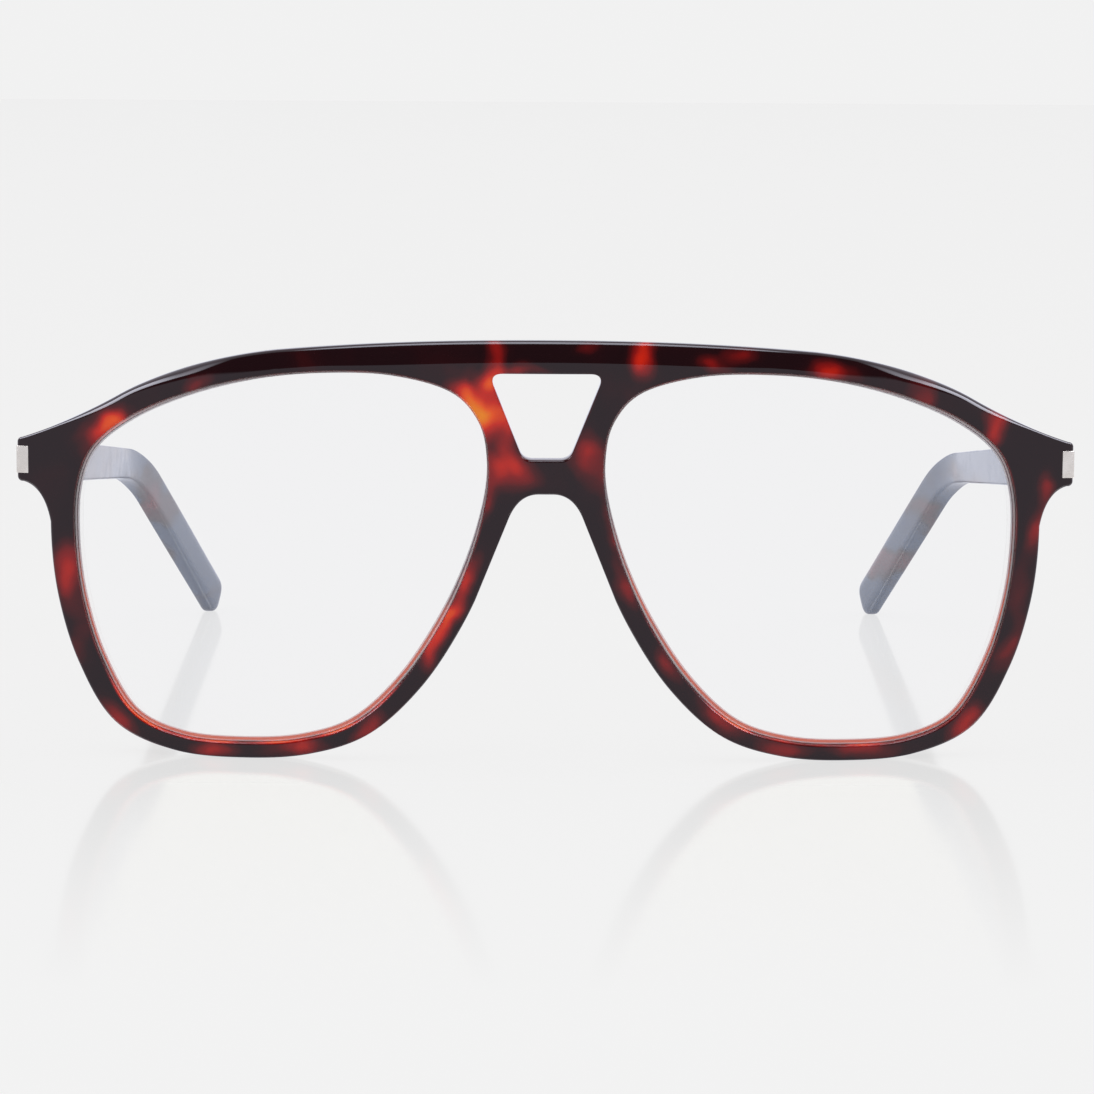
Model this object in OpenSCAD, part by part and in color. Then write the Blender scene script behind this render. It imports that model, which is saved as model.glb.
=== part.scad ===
// Aviator eyeglasses with a keyhole bridge: a wrapped acetate front, two clear lenses,
// clear nose pads, corner plaques, five-knuckle hinges and bent temples with a wire core.
// X runs across the face, the front looks towards -Y, Z is up from the surface it stands on.

/* [Front] */
// Overall width of the front, corner to corner
front_w = 147.4; // [140:0.2:156]
// Radius of the wrap that the front follows round the face
wrap_r = 260; // [220:5:320]
// Thickness of the sheet that the front is cut from
front_t = 4; // [3.4:0.1:5]
// Height of the brow over the lens openings, at the middle
brow_over = 4.35; // [3.6:0.05:6]
// Height of the bevel along the top of the brow
bevel_h = 2.9; // [1.5:0.1:3.4]
// Rise of the bevel for each millimetre that it goes back
bevel_slope = 1.64; // [1.2:0.02:2.4]
// Fall of the bevel's lower edge at 50 mm from the middle
bevel_fall = 3; // [2:0.1:4]

/* [Lens openings] */
// Width of a lens opening
lens_w = 57.6; // [54:0.1:60]
// Height of a lens opening
lens_h = 51.9; // [47:0.1:54]
// Gap between the two lens openings at the nose
bridge_gap = 15.9; // [15:0.1:19]
// Thickness of a lens
lens_t = 2; // [1.6:0.1:2.4]
// Depth of the lens's face below the face of the front
lens_sink = 1; // [0.6:0.05:1.2]
// Depth of the groove that holds the lens's edge
groove_d = 0.7; // [0.4:0.05:1]
// Width of that groove
groove_w = 1; // [0.7:0.05:1.3]
// Clearance between a lens and its groove
lens_fit = 0.05; // [0.02:0.01:0.1]

/* [Rims] */
// Width of a rim along its top
rim_top = 3.3; // [2.6:0.1:4.2]
// Width of a rim at its outer side
rim_side = 3.4; // [2.6:0.1:4.2]
// Width of a rim along its bottom
rim_low = 2.15; // [1.8:0.05:3.2]
// Width of a rim at the nose
rim_nose = 2.8; // [2.2:0.1:3.4]

/* [Bridge] */
// Height of the brow bar over the keyhole
brow_bar = 4.45; // [3.6:0.05:5]
// Height of the keyhole
key_h = 11.8; // [9:0.1:13]
// Width of the keyhole along its top, before its corners are rounded
key_w_top = 15.8; // [12:0.1:17]
// Width of the keyhole along its bottom, before its corners are rounded
key_w_low = 6.3; // [4:0.1:8]
// Rounding of the keyhole's upper corners
key_r_top = 1.9; // [0.8:0.1:2.6]
// Rounding of the keyhole's lower corners
key_r_low = 1.3; // [0.6:0.1:1.8]
// Height of the lower bar of the bridge
low_bar = 4.75; // [3.6:0.05:6]
// Width of the nose arch where its straight sides would meet its top
arch_w = 7.5; // [6.5:0.1:9]
// Width of the flat at the top of the nose arch
arch_flat = 2; // [1:0.1:3]
// Height of the rounding between the nose arch's top and its sides
arch_round = 3.4; // [2.6:0.1:4.2]

/* [End pieces] */
// Height of an end piece and of the temple where it meets it
end_h = 6.2; // [5.8:0.1:7.2]
// Height of the middle of an end piece's face over the surface the glasses stand on
end_z = 40.85; // [39:0.05:42.5]
// How far back an end piece reaches from the front's own corner
end_l = 10.3; // [9.6:0.1:13]
// Width of an end piece's block behind the front
end_block_w = 7.3; // [6.8:0.1:8]
// Rounding of the end piece's outer corners
corner_r = 0.7; // [0.3:0.05:1.4]

/* [Corner plaques] */
// Height of a plaque
plaque_h = 3.8; // [2.8:0.1:5]
// Width of its leg on the face of the front
plaque_front = 1.6; // [1:0.1:3]
// Length of its leg along the side
plaque_side = 8; // [6:0.1:9]
// Thickness of its metal
plaque_t = 0.7; // [0.5:0.05:1]
// How far it stands proud of the acetate
plaque_proud = 0.1; // [0.05:0.01:0.3]
// Radius of the two studs behind it
stud_r = 0.45; // [0.3:0.05:0.6]
// Length of those studs
stud_l = 1.8; // [1:0.1:2.2]

/* [Hinges] */
// Outer radius of the hinge's knuckles
knuckle_r = 1.5; // [1.3:0.05:1.7]
// Height of one knuckle
knuckle_h = 1; // [0.8:0.02:1.1]
// Thickness of the washers at the two outer joints between knuckles
washer_t = 0.2; // [0.1:0.02:0.3]
// Radius of the hinge screw's shank
screw_r = 0.68; // [0.5:0.02:0.8]
// Running clearance round the shank and between knuckles
run_gap = 0.03; // [0.02:0.005:0.08]
// Radius of the hinge screw's head
head_r = 1.1; // [0.95:0.02:1.2]
// Height of that head
head_h = 0.5; // [0.3:0.05:0.7]
// Distance of the hinge's axis from the temple's inner face
axis_in = 1.8; // [1.7:0.05:2.1]
// Thickness of both hinge leaves
leaf_t = 0.9; // [0.7:0.05:1.1]
// Length of the leaf set in the front's end piece
front_leaf = 4.6; // [3.5:0.1:5.5]
// Length of the leaf let into the temple
temple_leaf = 9; // [8:0.1:12]
// Radius of the shank of the two screws that hold that leaf
leaf_screw_r = 0.5; // [0.4:0.02:0.6]
// Length of those screws
leaf_screw_l = 2.6; // [2:0.1:3]
// Clearance round what is set in the acetate
set_gap = 0.02; // [0.01:0.01:0.05]
// Gap between the end piece and the temple's butt
butt_gap = 0.1; // [0.05:0.01:0.2]

/* [Temples] */
// Length of a temple's straight part
temple_l = 83; // [78:0.5:92]
// Slope of the end pieces and the straight part, down towards the back
temple_drop = 6.4; // [5:0.1:8]
// Slope of the end behind the ear
tip_drop = 37.5; // [32:0.5:45]
// Radius of the bend over the ear, on the temple's middle line
bend_r = 30; // [20:1:40]
// Thickness of a temple at its hinge
temple_t = 4; // [3.6:0.1:4.6]
// Thickness of a temple at its tip
tip_t = 2.6; // [2.4:0.1:4]
// Height of a temple at its bend
bend_h = 4.9; // [4.6:0.1:7]
// Height of a temple at its tip
tip_h = 6.4; // [5.6:0.1:8.5]
// Angle by which the straight part turns in towards the head
temple_in = 2; // [1:0.1:3]
// Angle by which the end behind the ear turns in
tip_in = 15.6; // [8:0.2:18]
// Height of the wire core
core_h = 2.2; // [1.6:0.1:3]
// Thickness of the wire core
core_t = 1.2; // [0.8:0.1:1.4]
// Distance from the temple's butt to the front end of the core
core_start = 11.5; // [10.5:0.5:16]
// Distance from the core's rear end to the middle of the tip's round
core_end = 9; // [6:0.5:16]

/* [Nose pads] */
// Reach of a nose pad behind the front
pad_reach = 6.5; // [4:0.1:8]
// Thickness of a nose pad at its root
pad_w = 2.5; // [2:0.1:3]
// Lean of a pad away from the nose for each millimetre that it reaches back
pad_lean = 0.14; // [0:0.02:0.3]

/* [Hidden] */

// Number of straight pieces between two points of the lens form, and the length of one
form_steps = 3;
form_step = 1 / form_steps;
// Small overlap that lets one cut run into the next
over = 0.5;

// The lens form, as shares of its half width and half height, clockwise from the nose's top
lens_form = [
    [-0.958, 0.742], [-0.819, 0.904], [-0.531, 0.988], [-0.201, 0.996], [0.128, 0.958],
    [0.441, 0.872], [0.719, 0.741], [0.910, 0.572], [0.990, 0.349], [1.000, 0.060],
    [0.965, -0.249], [0.875, -0.568], [0.719, -0.854], [0.476, -0.977], [0.181, -1.000],
    [-0.115, -0.973], [-0.375, -0.869], [-0.604, -0.630], [-0.785, -0.322],
    [-0.910, -0.013], [-0.986, 0.295], [-1.000, 0.534]
];
// Places on the lens form where the outline leaves one stretch for the next
at_brow = 3.6;
at_end_top = 6;
at_end_low = 8 + 2 / 3;
at_arch = 18.5;
// Places on the lens form between which a nose pad runs
pad_from = 16.8;
pad_to = 20;

// Middle of a lens opening, and its top
lens_x = (bridge_gap + lens_w) / 2;
lens_z = rim_low + lens_h / 2;
lens_top_z = rim_low + lens_h;

// A point on a closed smooth run of points, at t counted in points
function smooth(p, t) =
    let (n = len(p), i = floor(t), f = t - i)
    let (a = p[(i - 1 + n) % n], b = p[i % n], c = p[(i + 1) % n], d = p[(i + 2) % n])
    b + f * (c - a + f * (2 * a - 5 * b + 4 * c - d + f * (3 * b - a - 3 * c + d))) / 2;
// A point on the right lens opening, and the way out of it there
near = 0.05;
function lens_at(t) =
    let (q = smooth(lens_form, t)) [lens_x + q[0] * lens_w / 2, lens_z + q[1] * lens_h / 2];
function lens_out(t) = let (d = lens_at(t + near) - lens_at(t - near)) [-d[1], d[0]] / norm(d);
// The opening's outline, grown outwards by g
function lens_ring(g) = [
    for (k = [0:len(lens_form) * form_steps - 1])
        let (t = 1 + k * form_step) lens_at(t) + g * lens_out(t)
];
// The rim's width on the side that n looks to, and a point on the rim's outer edge
function rim_width(n) =
    norm([n[0] * (n[0] > 0 ? rim_side : rim_nose), n[1] * (n[1] > 0 ? rim_top : rim_low)]);
function rim_at(t) = let (n = lens_out(t)) lens_at(t) + rim_width(n) * n;
function rim_run(t0, t1) =
    let (n = round((t1 - t0) * form_steps)) [for (k = [0:n]) rim_at(t0 + (t1 - t0) * k / n)];
// A curve from a to c that leans on b, and a corner rounded by it
function bow(a, b, c, n) =
    [for (k = [0:n]) let (f = k / n) a * (1 - f) * (1 - f) + b * 2 * f * (1 - f) + c * f * f];
function corner(a, b, c, r) =
    bow(b + r * (a - b) / norm(a - b), b, b + r * (c - b) / norm(c - b), 4);
// A round corner of the end piece from angle a0 to a1
function arc(x, z, r, a0, a1) =
    [for (k = [0:4]) let (a = a0 + (a1 - a0) * k / 4) [x + r * cos(a), z + r * sin(a)]];
// How far back the front's face lies at x
function wrap_y(x) = wrap_r - sqrt(wrap_r * wrap_r - x * x);

// The outline of the front's right half, clockwise from the middle of the brow
brow_z = lens_top_z + brow_over;
brow_join = rim_at(at_brow);
brow_power = 2.2;
brow_steps = 8;
brow_edge = [
    for (k = [0:brow_steps - 1])
        let (f = k / brow_steps) [brow_join[0] * f, brow_z - (brow_z - brow_join[1]) * pow(f, brow_power)]
];
end_x = front_w / 2;
corner_y = wrap_y(end_x);
end_y = corner_y + end_l;
end_top = end_z + end_h / 2;
end_low = end_z - end_h / 2;
// How far the end pieces and temples have come down at y on their slope from the front's corner
function fallen(y) = (y - corner_y) * tan(temple_drop);
end_lift = 2.4;
end_lean = 0.46;
end_join = rim_at(at_end_top);
end_edge = bow(
    end_join, [end_join[0] * (1 - end_lean) + end_x * end_lean, end_top + end_lift],
    [end_x - corner_r, end_top], 6);
fillet_join = rim_at(at_end_low);
// Turn of the end piece's round corners, just short of its top and bottom
corner_turn = 70;
fillet_out = 0.9;
fillet_down = 0.75;
fillet_flat = 0.2;
fillet_start = [end_x - corner_r - fillet_flat, end_low];
fillet_edge = bow(fillet_start, [fillet_join[0] + fillet_out, end_low - fillet_down], fillet_join, 5);
end_corners = concat(
    arc(end_x - corner_r, end_top - corner_r, corner_r, corner_turn, 0),
    arc(end_x - corner_r, end_low + corner_r, corner_r, 0, -corner_turn));
key_top = brow_z - brow_bar;
key_low = key_top - key_h;
arch_z = key_low - low_bar;
arch_side = rim_at(at_arch);
arch_top = [arch_w / 2, arch_z];
arch_bend = arch_top + (arch_side - arch_top) * arch_round / (arch_z - arch_side[1]);
arch_edge = concat([arch_side], bow(arch_bend, arch_top, [arch_flat / 2, arch_z], 6), [[0, arch_z]]);
half_edge = concat(
    brow_edge,
    rim_run(at_brow, at_end_top - form_step),
    end_edge,
    end_corners,
    fillet_edge,
    rim_run(at_end_low + form_step, at_arch - form_step),
    arch_edge);
front_edge = concat(
    half_edge, [for (k = [len(half_edge) - 2:-1:1]) [-half_edge[k][0], half_edge[k][1]]]);
// The end piece's section behind the front, which looks like the front's corner on every upright cut
end_form = concat(
    [[end_x - end_block_w, end_low], [end_x - end_block_w, end_top], [end_x - corner_r, end_top]],
    end_corners, [fillet_start]);

// The keyhole, a rounded trapezium that narrows downwards
key_a = [-key_w_top / 2, key_top];
key_b = [key_w_top / 2, key_top];
key_c = [key_w_low / 2, key_low];
key_d = [-key_w_low / 2, key_low];
key_edge = concat(
    corner(key_d, key_a, key_b, key_r_top), corner(key_a, key_b, key_c, key_r_top),
    corner(key_b, key_c, key_d, key_r_low), corner(key_c, key_d, key_a, key_r_low));

// The hinge: its axis, and the heights of its five knuckles with washers at the outer two joints
axis_x = end_x - temple_t - axis_in;
axis_y = end_y;
outer_joint = washer_t + 2 * run_gap;
inner_joint = 2 * run_gap;
stack_h = 5 * knuckle_h + 2 * outer_joint + 2 * inner_joint;
hinge_z = end_z - fallen(end_y);
stack_z = hinge_z - stack_h / 2;
knuckle_z = [
    stack_z, stack_z + knuckle_h + outer_joint,
    stack_z + 2 * knuckle_h + outer_joint + inner_joint,
    stack_z + 3 * knuckle_h + outer_joint + 2 * inner_joint,
    stack_z + 4 * knuckle_h + 2 * outer_joint + 2 * inner_joint
];
bore_r = screw_r + run_gap;
bay_gap = 0.2;
bay_y = end_y - knuckle_r - bay_gap;
butt_y = end_y + butt_gap;
butt_z = end_z - fallen(butt_y);
temple_in_x = end_x - temple_t;

// The temple's middle line seen from the side: straight, bend, straight to the tip's round
bend_y0 = butt_y + temple_l * cos(temple_drop);
bend_z0 = butt_z - temple_l * sin(temple_drop);
bend_y1 = bend_y0 + bend_r * (sin(tip_drop) - sin(temple_drop));
bend_z1 = bend_z0 - bend_r * (cos(temple_drop) - cos(tip_drop));
tip_l = (bend_z1 - tip_h / 2) / sin(tip_drop);
tip_y = bend_y1 + tip_l * cos(tip_drop);
tip_z = tip_h / 2;
bend_l = bend_r * (tip_drop - temple_drop) * PI / 180;
line_l = temple_l + bend_l + tip_l;
// Whole depth of the glasses, which the origin halves
depth_y = tip_y + tip_h / 2;
mid_y = depth_y / 2;

// Slope, place and height of the temple at s along its middle line
function line_slope(s) =
    s < temple_l ? temple_drop : min(tip_drop, temple_drop + (s - temple_l) / bend_r * 180 / PI);
function line_at(s) =
    s <= temple_l ? [butt_y + s * cos(temple_drop), butt_z - s * sin(temple_drop)] :
    s <= temple_l + bend_l ?
        let (a = line_slope(s))
        [bend_y0 + bend_r * (sin(a) - sin(temple_drop)), bend_z0 - bend_r * (cos(temple_drop) - cos(a))] :
        let (u = s - temple_l - bend_l) [bend_y1 + u * cos(tip_drop), bend_z1 - u * sin(tip_drop)];
function line_h(s) =
    s <= temple_l ? end_h + (bend_h - end_h) * s / temple_l :
    bend_h + (tip_h - bend_h) * (s - temple_l) / (line_l - temple_l);
// An edge point at half height h off the middle line, above for a positive h
function off_line(s, h) = let (a = line_slope(s)) line_at(s) + h * [sin(a), cos(a)];
bend_steps = 5;
line_stops = concat(
    [temple_l / 2, temple_l], [for (k = [1:bend_steps]) temple_l + bend_l * k / bend_steps],
    [temple_l + bend_l + tip_l / 2, line_l]);
tip_steps = 8;

// The temple's middle line seen from above: it turns in, and turns in further behind the ear
turn_l = 13;
turn_y = bend_y0 - turn_l / 4;
turn_more = tan(tip_in) - tan(temple_in);
function line_x(y) =
    let (u = y - turn_y, turned = u < 0 ? 0 : u < turn_l ? u * u / (2 * turn_l) : u - turn_l / 2)
    end_x - temple_t / 2 - (y - butt_y) * tan(temple_in) - turned * turn_more;
function line_t(y) = temple_t + (tip_t - temple_t) * (y - butt_y) / (depth_y - butt_y);
turn_steps = 5;
turn_stops = [for (k = [0:turn_steps]) turn_y + turn_l * k / turn_steps];

// The wedge of the brow's bevel: how far it reaches, its stops, and the shape of its fall
bevel_reach = 58;
bevel_stops = 29;
bevel_at = 50;
bevel_power = 2;
bevel_before = 1;
bevel_above = 3;

// Shares of its full width and reach that a pad keeps at its ends, and how fast it swells
pad_end_w = 0.35;
pad_end_h = 0.05;
pad_swell = 0.8;
pad_root = 2;

// The leaves: how far the front one stops short of the knuckles, how far the temple's lies low,
// and how far it stands past the arms of its own knuckles
leaf_inset = 0.15;
leaf_drop = 0.25;
leaf_edge = 0.05;
leaf_half = stack_h / 2 - leaf_inset;
leaf_low = end_z - fallen(bay_y) - leaf_half;
leaf_top = end_z - fallen(bay_y) + leaf_half;
// Screws that hold the temple's leaf, and the plaque's studs, as shares along their own lengths
leaf_screw_share = [0.42, 0.78];
stud_share = [0.35, 0.8];
leaf_screw_y = [for (f = leaf_screw_share) butt_y + temple_leaf * f];
leaf_z = hinge_z - leaf_drop;
leaf_h = knuckle_z[3] + knuckle_h - knuckle_z[1] + 2 * (leaf_drop + leaf_edge);
leaf_head_r = 0.8;
leaf_head_h = 0.35;
stud_y = [for (f = stud_share) corner_y + plaque_side * f];
// The plaque's side leg follows the end piece's slope from the back of its front leg
plaque_bend = corner_y + plaque_t;
function plaque_fall(y) = max(0, y - plaque_bend) * tan(temple_drop);
stud_root = 0.1;
slot_w = 0.3;
slot_d = 0.25;
foot_l = 1.9;
washer_inset = 0.1;
pad_stops = 12;

acetate = "#33231f";
clear = "#dfe6ea";
steel = "#b9b9bb";
champagne = "#cfc4ae";

// Everything is drawn with the middle of the front's face at Y zero, then set over the origin
module placed(side) {
    translate([0, -mid_y, 0]) mirror([side < 0 ? 1 : 0, 0, 0]) children();
}
// A flat outline of the front view, as a block from y0 back to y1
module block(edge, y0, y1) {
    translate([0, y1, 0]) rotate([90, 0, 0]) linear_extrude(y1 - y0) polygon(edge);
}
// An outline of the side view, as a block from x0 out to x1
module side_block(edge, x0, x1) {
    translate([x0, 0, 0]) rotate([90, 0, 90]) linear_extrude(x1 - x0) polygon(edge);
}
// A cylinder about the wrap's axis, whose surface lies at a depth behind the front's face
module wrapped(depth) {
    translate([0, wrap_r, -over]) cylinder(r = wrap_r - depth, h = brow_z + 2 * over, $fn = 360);
}
// A box given by its two corners
module box(a, b) {
    translate(a) cube(b - a);
}

// The wedge that cuts the brow's bevel, one triangle at each of its stops
module bevel_cut() {
    lift = bevel_h + bevel_above;
    xs = [for (k = [0:bevel_stops]) -bevel_reach + 2 * bevel_reach * k / bevel_stops];
    function ridge(x) = brow_z - bevel_h - bevel_fall * pow(abs(x) / bevel_at, bevel_power);
    points = [
        for (x = xs) each [
            [x, wrap_y(x) - bevel_before, ridge(x) - bevel_before * bevel_slope],
            [x, wrap_y(x) + lift / bevel_slope, ridge(x) + lift],
            [x, wrap_y(x) - bevel_before, ridge(x) + lift]
        ]
    ];
    walls = [
        for (k = [0:bevel_stops - 1], j = [0:2])
            let (a = 3 * k + j, b = 3 * k + (j + 1) % 3) each [[a, b + 3, b], [a, a + 3, b + 3]]
    ];
    last = 3 * bevel_stops;
    polyhedron(points, concat(walls, [[0, 1, 2], [last, last + 2, last + 1]]));
}
// The plaque's two legs, grown by g where they are let into the acetate
module plaque_form(g) {
    x0 = end_x - plaque_front - g;
    x1 = end_x - plaque_t + plaque_proud - g;
    x2 = end_x + plaque_proud;
    y0 = wrap_y(end_x - plaque_front);
    y_end = corner_y + plaque_side + g;
    half = plaque_h / 2 + g;
    translate([0, 0, end_z - half]) linear_extrude(2 * half) polygon([
        [x0, y0 - plaque_proud], [x2, corner_y - plaque_proud], [x2, plaque_bend], [x0, y0 + plaque_t + g]
    ]);
    side_block([
        [corner_y, end_z - half], [plaque_bend, end_z - half], [y_end, end_z - half - plaque_fall(y_end)],
        [y_end, end_z + half - plaque_fall(y_end)], [plaque_bend, end_z + half], [corner_y, end_z + half]
    ], x1, x2);
}
module plaque_studs(r, l) {
    for (y = stud_y)
        translate([end_x - plaque_t + plaque_proud + stud_root, y, end_z - plaque_fall(y)])
            rotate([0, -90, 0]) cylinder(r = r, h = l + stud_root, $fn = 32);
}
// A plate in the end piece that follows its slope, from y0 to y1 and from x0 to x1, grown by g
module leaf_plate(y0, y1, x0, x1, g) {
    z0 = end_z - fallen(y0);
    z1 = end_z - fallen(y1);
    half = leaf_half + g;
    side_block([[y0, z0 - half], [y1, z1 - half], [y1, z1 + half], [y0, z0 + half]], x0, x1);
}
// The leaf and foot that anchor the front hinge, grown by g
module front_leaf_form(g) {
    x0 = axis_x - leaf_t / 2 - g;
    y0 = bay_y - front_leaf;
    leaf_plate(y0 - g, bay_y + over, x0, axis_x + leaf_t / 2 + g, g);
    leaf_plate(y0 - g, y0 + leaf_t + g, x0, axis_x + foot_l + g, g);
}
// The leaf let into the temple, grown by g
module temple_leaf_form(g) {
    box([temple_in_x - g, butt_y + (g > 0 ? -over : over), leaf_z - leaf_h / 2 - g],
        [temple_in_x + leaf_t + g, butt_y + temple_leaf + g, leaf_z + leaf_h / 2 + g]);
}
module leaf_screws_form(g) {
    r = leaf_screw_r + g;
    for (y = leaf_screw_y) translate([temple_in_x - g, y, leaf_z]) rotate([0, 90, 0]) {
        cylinder(r = r, h = leaf_screw_l + 2 * g, $fn = 32);
        cylinder(r1 = leaf_head_r + g, r2 = r, h = leaf_head_h + g, $fn = 32);
    }
}

// The end piece behind the sheet, run back along the temple's slope
module end_piece() intersection() {
    translate([0, corner_y, end_z]) rotate([-temple_drop, 0, 0])
        block([for (p = end_form) [p[0], (p[1] - end_z) * cos(temple_drop)]], -end_h, 2 * end_l);
    box([0, corner_y, 0], [end_x + over, end_y, brow_z]);
}
module front() color(acetate) placed(1) difference() {
    union() {
        difference() {
            intersection() {
                block(front_edge, -over, end_y);
                wrapped(0);
            }
            wrapped(front_t);
        }
        for (m = [0, 1]) mirror([m, 0, 0]) end_piece();
    }
    block(key_edge, -over, end_y + over);
    bevel_cut();
    for (m = [0, 1]) mirror([m, 0, 0]) {
        block(lens_ring(0), -over, end_y + over);
        intersection() {
            block(lens_ring(groove_d), -over, end_y + over);
            difference() {
                wrapped(lens_sink + (lens_t - groove_w) / 2);
                wrapped(lens_sink + (lens_t + groove_w) / 2);
            }
        }
        plaque_form(set_gap);
        plaque_studs(stud_r + set_gap, stud_l + set_gap);
        front_leaf_form(set_gap);
        box([end_x - end_block_w - over, bay_y, end_low - fallen(end_y) - over],
            [temple_in_x - bay_gap, end_y + over, brow_z]);
    }
}

module lens(side) color(clear, 0.4) placed(side) {
    intersection() {
        block(lens_ring(-lens_fit), -over, end_y + over);
        difference() {
            wrapped(lens_sink);
            wrapped(lens_sink + lens_t);
        }
    }
    intersection() {
        block(lens_ring(groove_d - lens_fit), -over, end_y + over);
        difference() {
            wrapped(lens_sink + (lens_t - groove_w) / 2 + lens_fit);
            wrapped(lens_sink + (lens_t + groove_w) / 2 - lens_fit);
        }
    }
}

// A clear pad that swells from nothing at both ends, as a loft whose root lies in the rim
module pad_loft() {
    arc_steps = 6;
    ring_n = arc_steps + 3;
    function pad_flat(w, h) = concat(
        [[w / 2, -pad_root]],
        [for (k = [0:arc_steps]) let (a = 180 * k / arc_steps) [w / 2 * cos(a), h * sin(a)]],
        [[-w / 2, -pad_root]]);
    function pad_width(f) = pad_w * (pad_end_w + (1 - pad_end_w) * sqrt(f));
    function pad_ring(t, f) =
        let (n = lens_out(t), m = lens_at(t) + n * rim_width(n) / 2, y = wrap_y(m[0]) + front_t)
        [
            for (p = pad_flat(pad_width(f), pad_reach * f))
                let (c = p[0] - pad_lean * max(p[1], 0)) [m[0] + c * n[0], y + p[1], m[1] + c * n[1]]
        ];
    rings = [
        for (k = [0:pad_stops]) let (u = k / pad_stops)
            pad_ring(
                pad_from + (pad_to - pad_from) * u,
                pad_end_h + (1 - pad_end_h) * pow(sin(180 * u), pad_swell))
    ];
    walls = [
        for (k = [0:pad_stops - 1], j = [0:ring_n - 1])
            let (a = ring_n * k + j, b = ring_n * k + (j + 1) % ring_n)
                each [[a, b, b + ring_n], [a, b + ring_n, a + ring_n]]
    ];
    ends = [[for (j = [ring_n - 1:-1:0]) j], [for (j = [0:ring_n - 1]) ring_n * pad_stops + j]];
    polyhedron([for (r = rings) each r], concat(walls, ends));
}
// The pad cut to sit on the back of the rim
module nose_pad(side) color(clear, 0.7) placed(side) intersection() {
    pad_loft();
    wrapped(front_t);
}

module corner_plaque(side) color(champagne) placed(side) {
    plaque_form(0);
    plaque_studs(stud_r, stud_l);
}

// A round form about the hinge's axis, from z upwards
module on_axis(z, r, h) {
    translate([axis_x, axis_y, z]) cylinder(r = r, h = h, $fn = 48);
}

module front_hinge(side) color(steel) placed(side) difference() {
    union() {
        front_leaf_form(0);
        for (k = [0, 2, 4]) {
            on_axis(knuckle_z[k], knuckle_r, knuckle_h);
            box([axis_x - leaf_t / 2, bay_y, max(knuckle_z[k], leaf_low)],
                [axis_x + leaf_t / 2, axis_y, min(knuckle_z[k] + knuckle_h, leaf_top)]);
        }
    }
    // Room for the other half's knuckles and the washers beside them
    for (k = [1, 3]) on_axis(
        knuckle_z[k - 1] + knuckle_h, knuckle_r + bay_gap, knuckle_z[k + 1] - knuckle_z[k - 1] - knuckle_h);
    on_axis(stack_z - over, bore_r, stack_h + 2 * over);
    on_axis(stack_z + stack_h - head_h, head_r + run_gap, head_h + over);
}

module temple_hinge(side) color(steel) placed(side) difference() {
    union() {
        temple_leaf_form(0);
        for (k = [1, 3]) {
            on_axis(knuckle_z[k], knuckle_r, knuckle_h);
            box([axis_x, butt_y, knuckle_z[k]],
                [temple_in_x + leaf_t, butt_y + knuckle_r, knuckle_z[k] + knuckle_h]);
        }
    }
    on_axis(stack_z - over, bore_r, stack_h + 2 * over);
    leaf_screws_form(set_gap);
}

module hinge_screw(side) color(steel) placed(side) difference() {
    union() {
        on_axis(stack_z, screw_r, stack_h);
        on_axis(stack_z + stack_h - head_h + run_gap, head_r, head_h - run_gap);
    }
    translate([axis_x, axis_y, stack_z + stack_h])
        box([-head_r - over, -slot_w / 2, -slot_d], [head_r + over, slot_w / 2, over]);
}

module hinge_washers(side) color("white") placed(side) {
    for (z = [knuckle_z[0] + knuckle_h + run_gap, knuckle_z[3] + knuckle_h + run_gap]) difference() {
        on_axis(z, knuckle_r - washer_inset, washer_t);
        on_axis(z - over, bore_r, washer_t + 2 * over);
    }
}

module leaf_screws(side) color(steel) placed(side) difference() {
    leaf_screws_form(0);
    for (y = leaf_screw_y) translate([temple_in_x, y, leaf_z])
        box([-over, -slot_w / 2, -leaf_head_r], [slot_d / 2, slot_w / 2, leaf_head_r]);
}

// The temple's side view with its round tip, and its plan
temple_edge = concat(
    [[butt_y, butt_z - end_h / 2], [butt_y, butt_z + end_h / 2]],
    [for (s = line_stops) off_line(s, line_h(s) / 2)],
    [
        for (k = [1:tip_steps - 1])
            let (a = 90 - tip_drop - 180 * k / tip_steps) [tip_y, tip_z] + tip_h / 2 * [cos(a), sin(a)]
    ],
    [for (k = [len(line_stops) - 1:-1:0]) let (s = line_stops[k]) off_line(s, -line_h(s) / 2)]);
function plan_edge(t0, ys) = concat(
    [for (y = ys) [line_x(y) + t0 * line_t(y) / 2, y]],
    [for (k = [len(ys) - 1:-1:0]) let (y = ys[k]) [line_x(y) - t0 * line_t(y) / 2, y]]);
core_share = core_t / temple_t;
core_stop = line_l - core_end;
core_stops = [for (s = line_stops) if (s > core_start && s < core_stop) s];
// How far the core's plan runs on past its ends, which its side view cuts off
core_over = 4;

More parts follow.
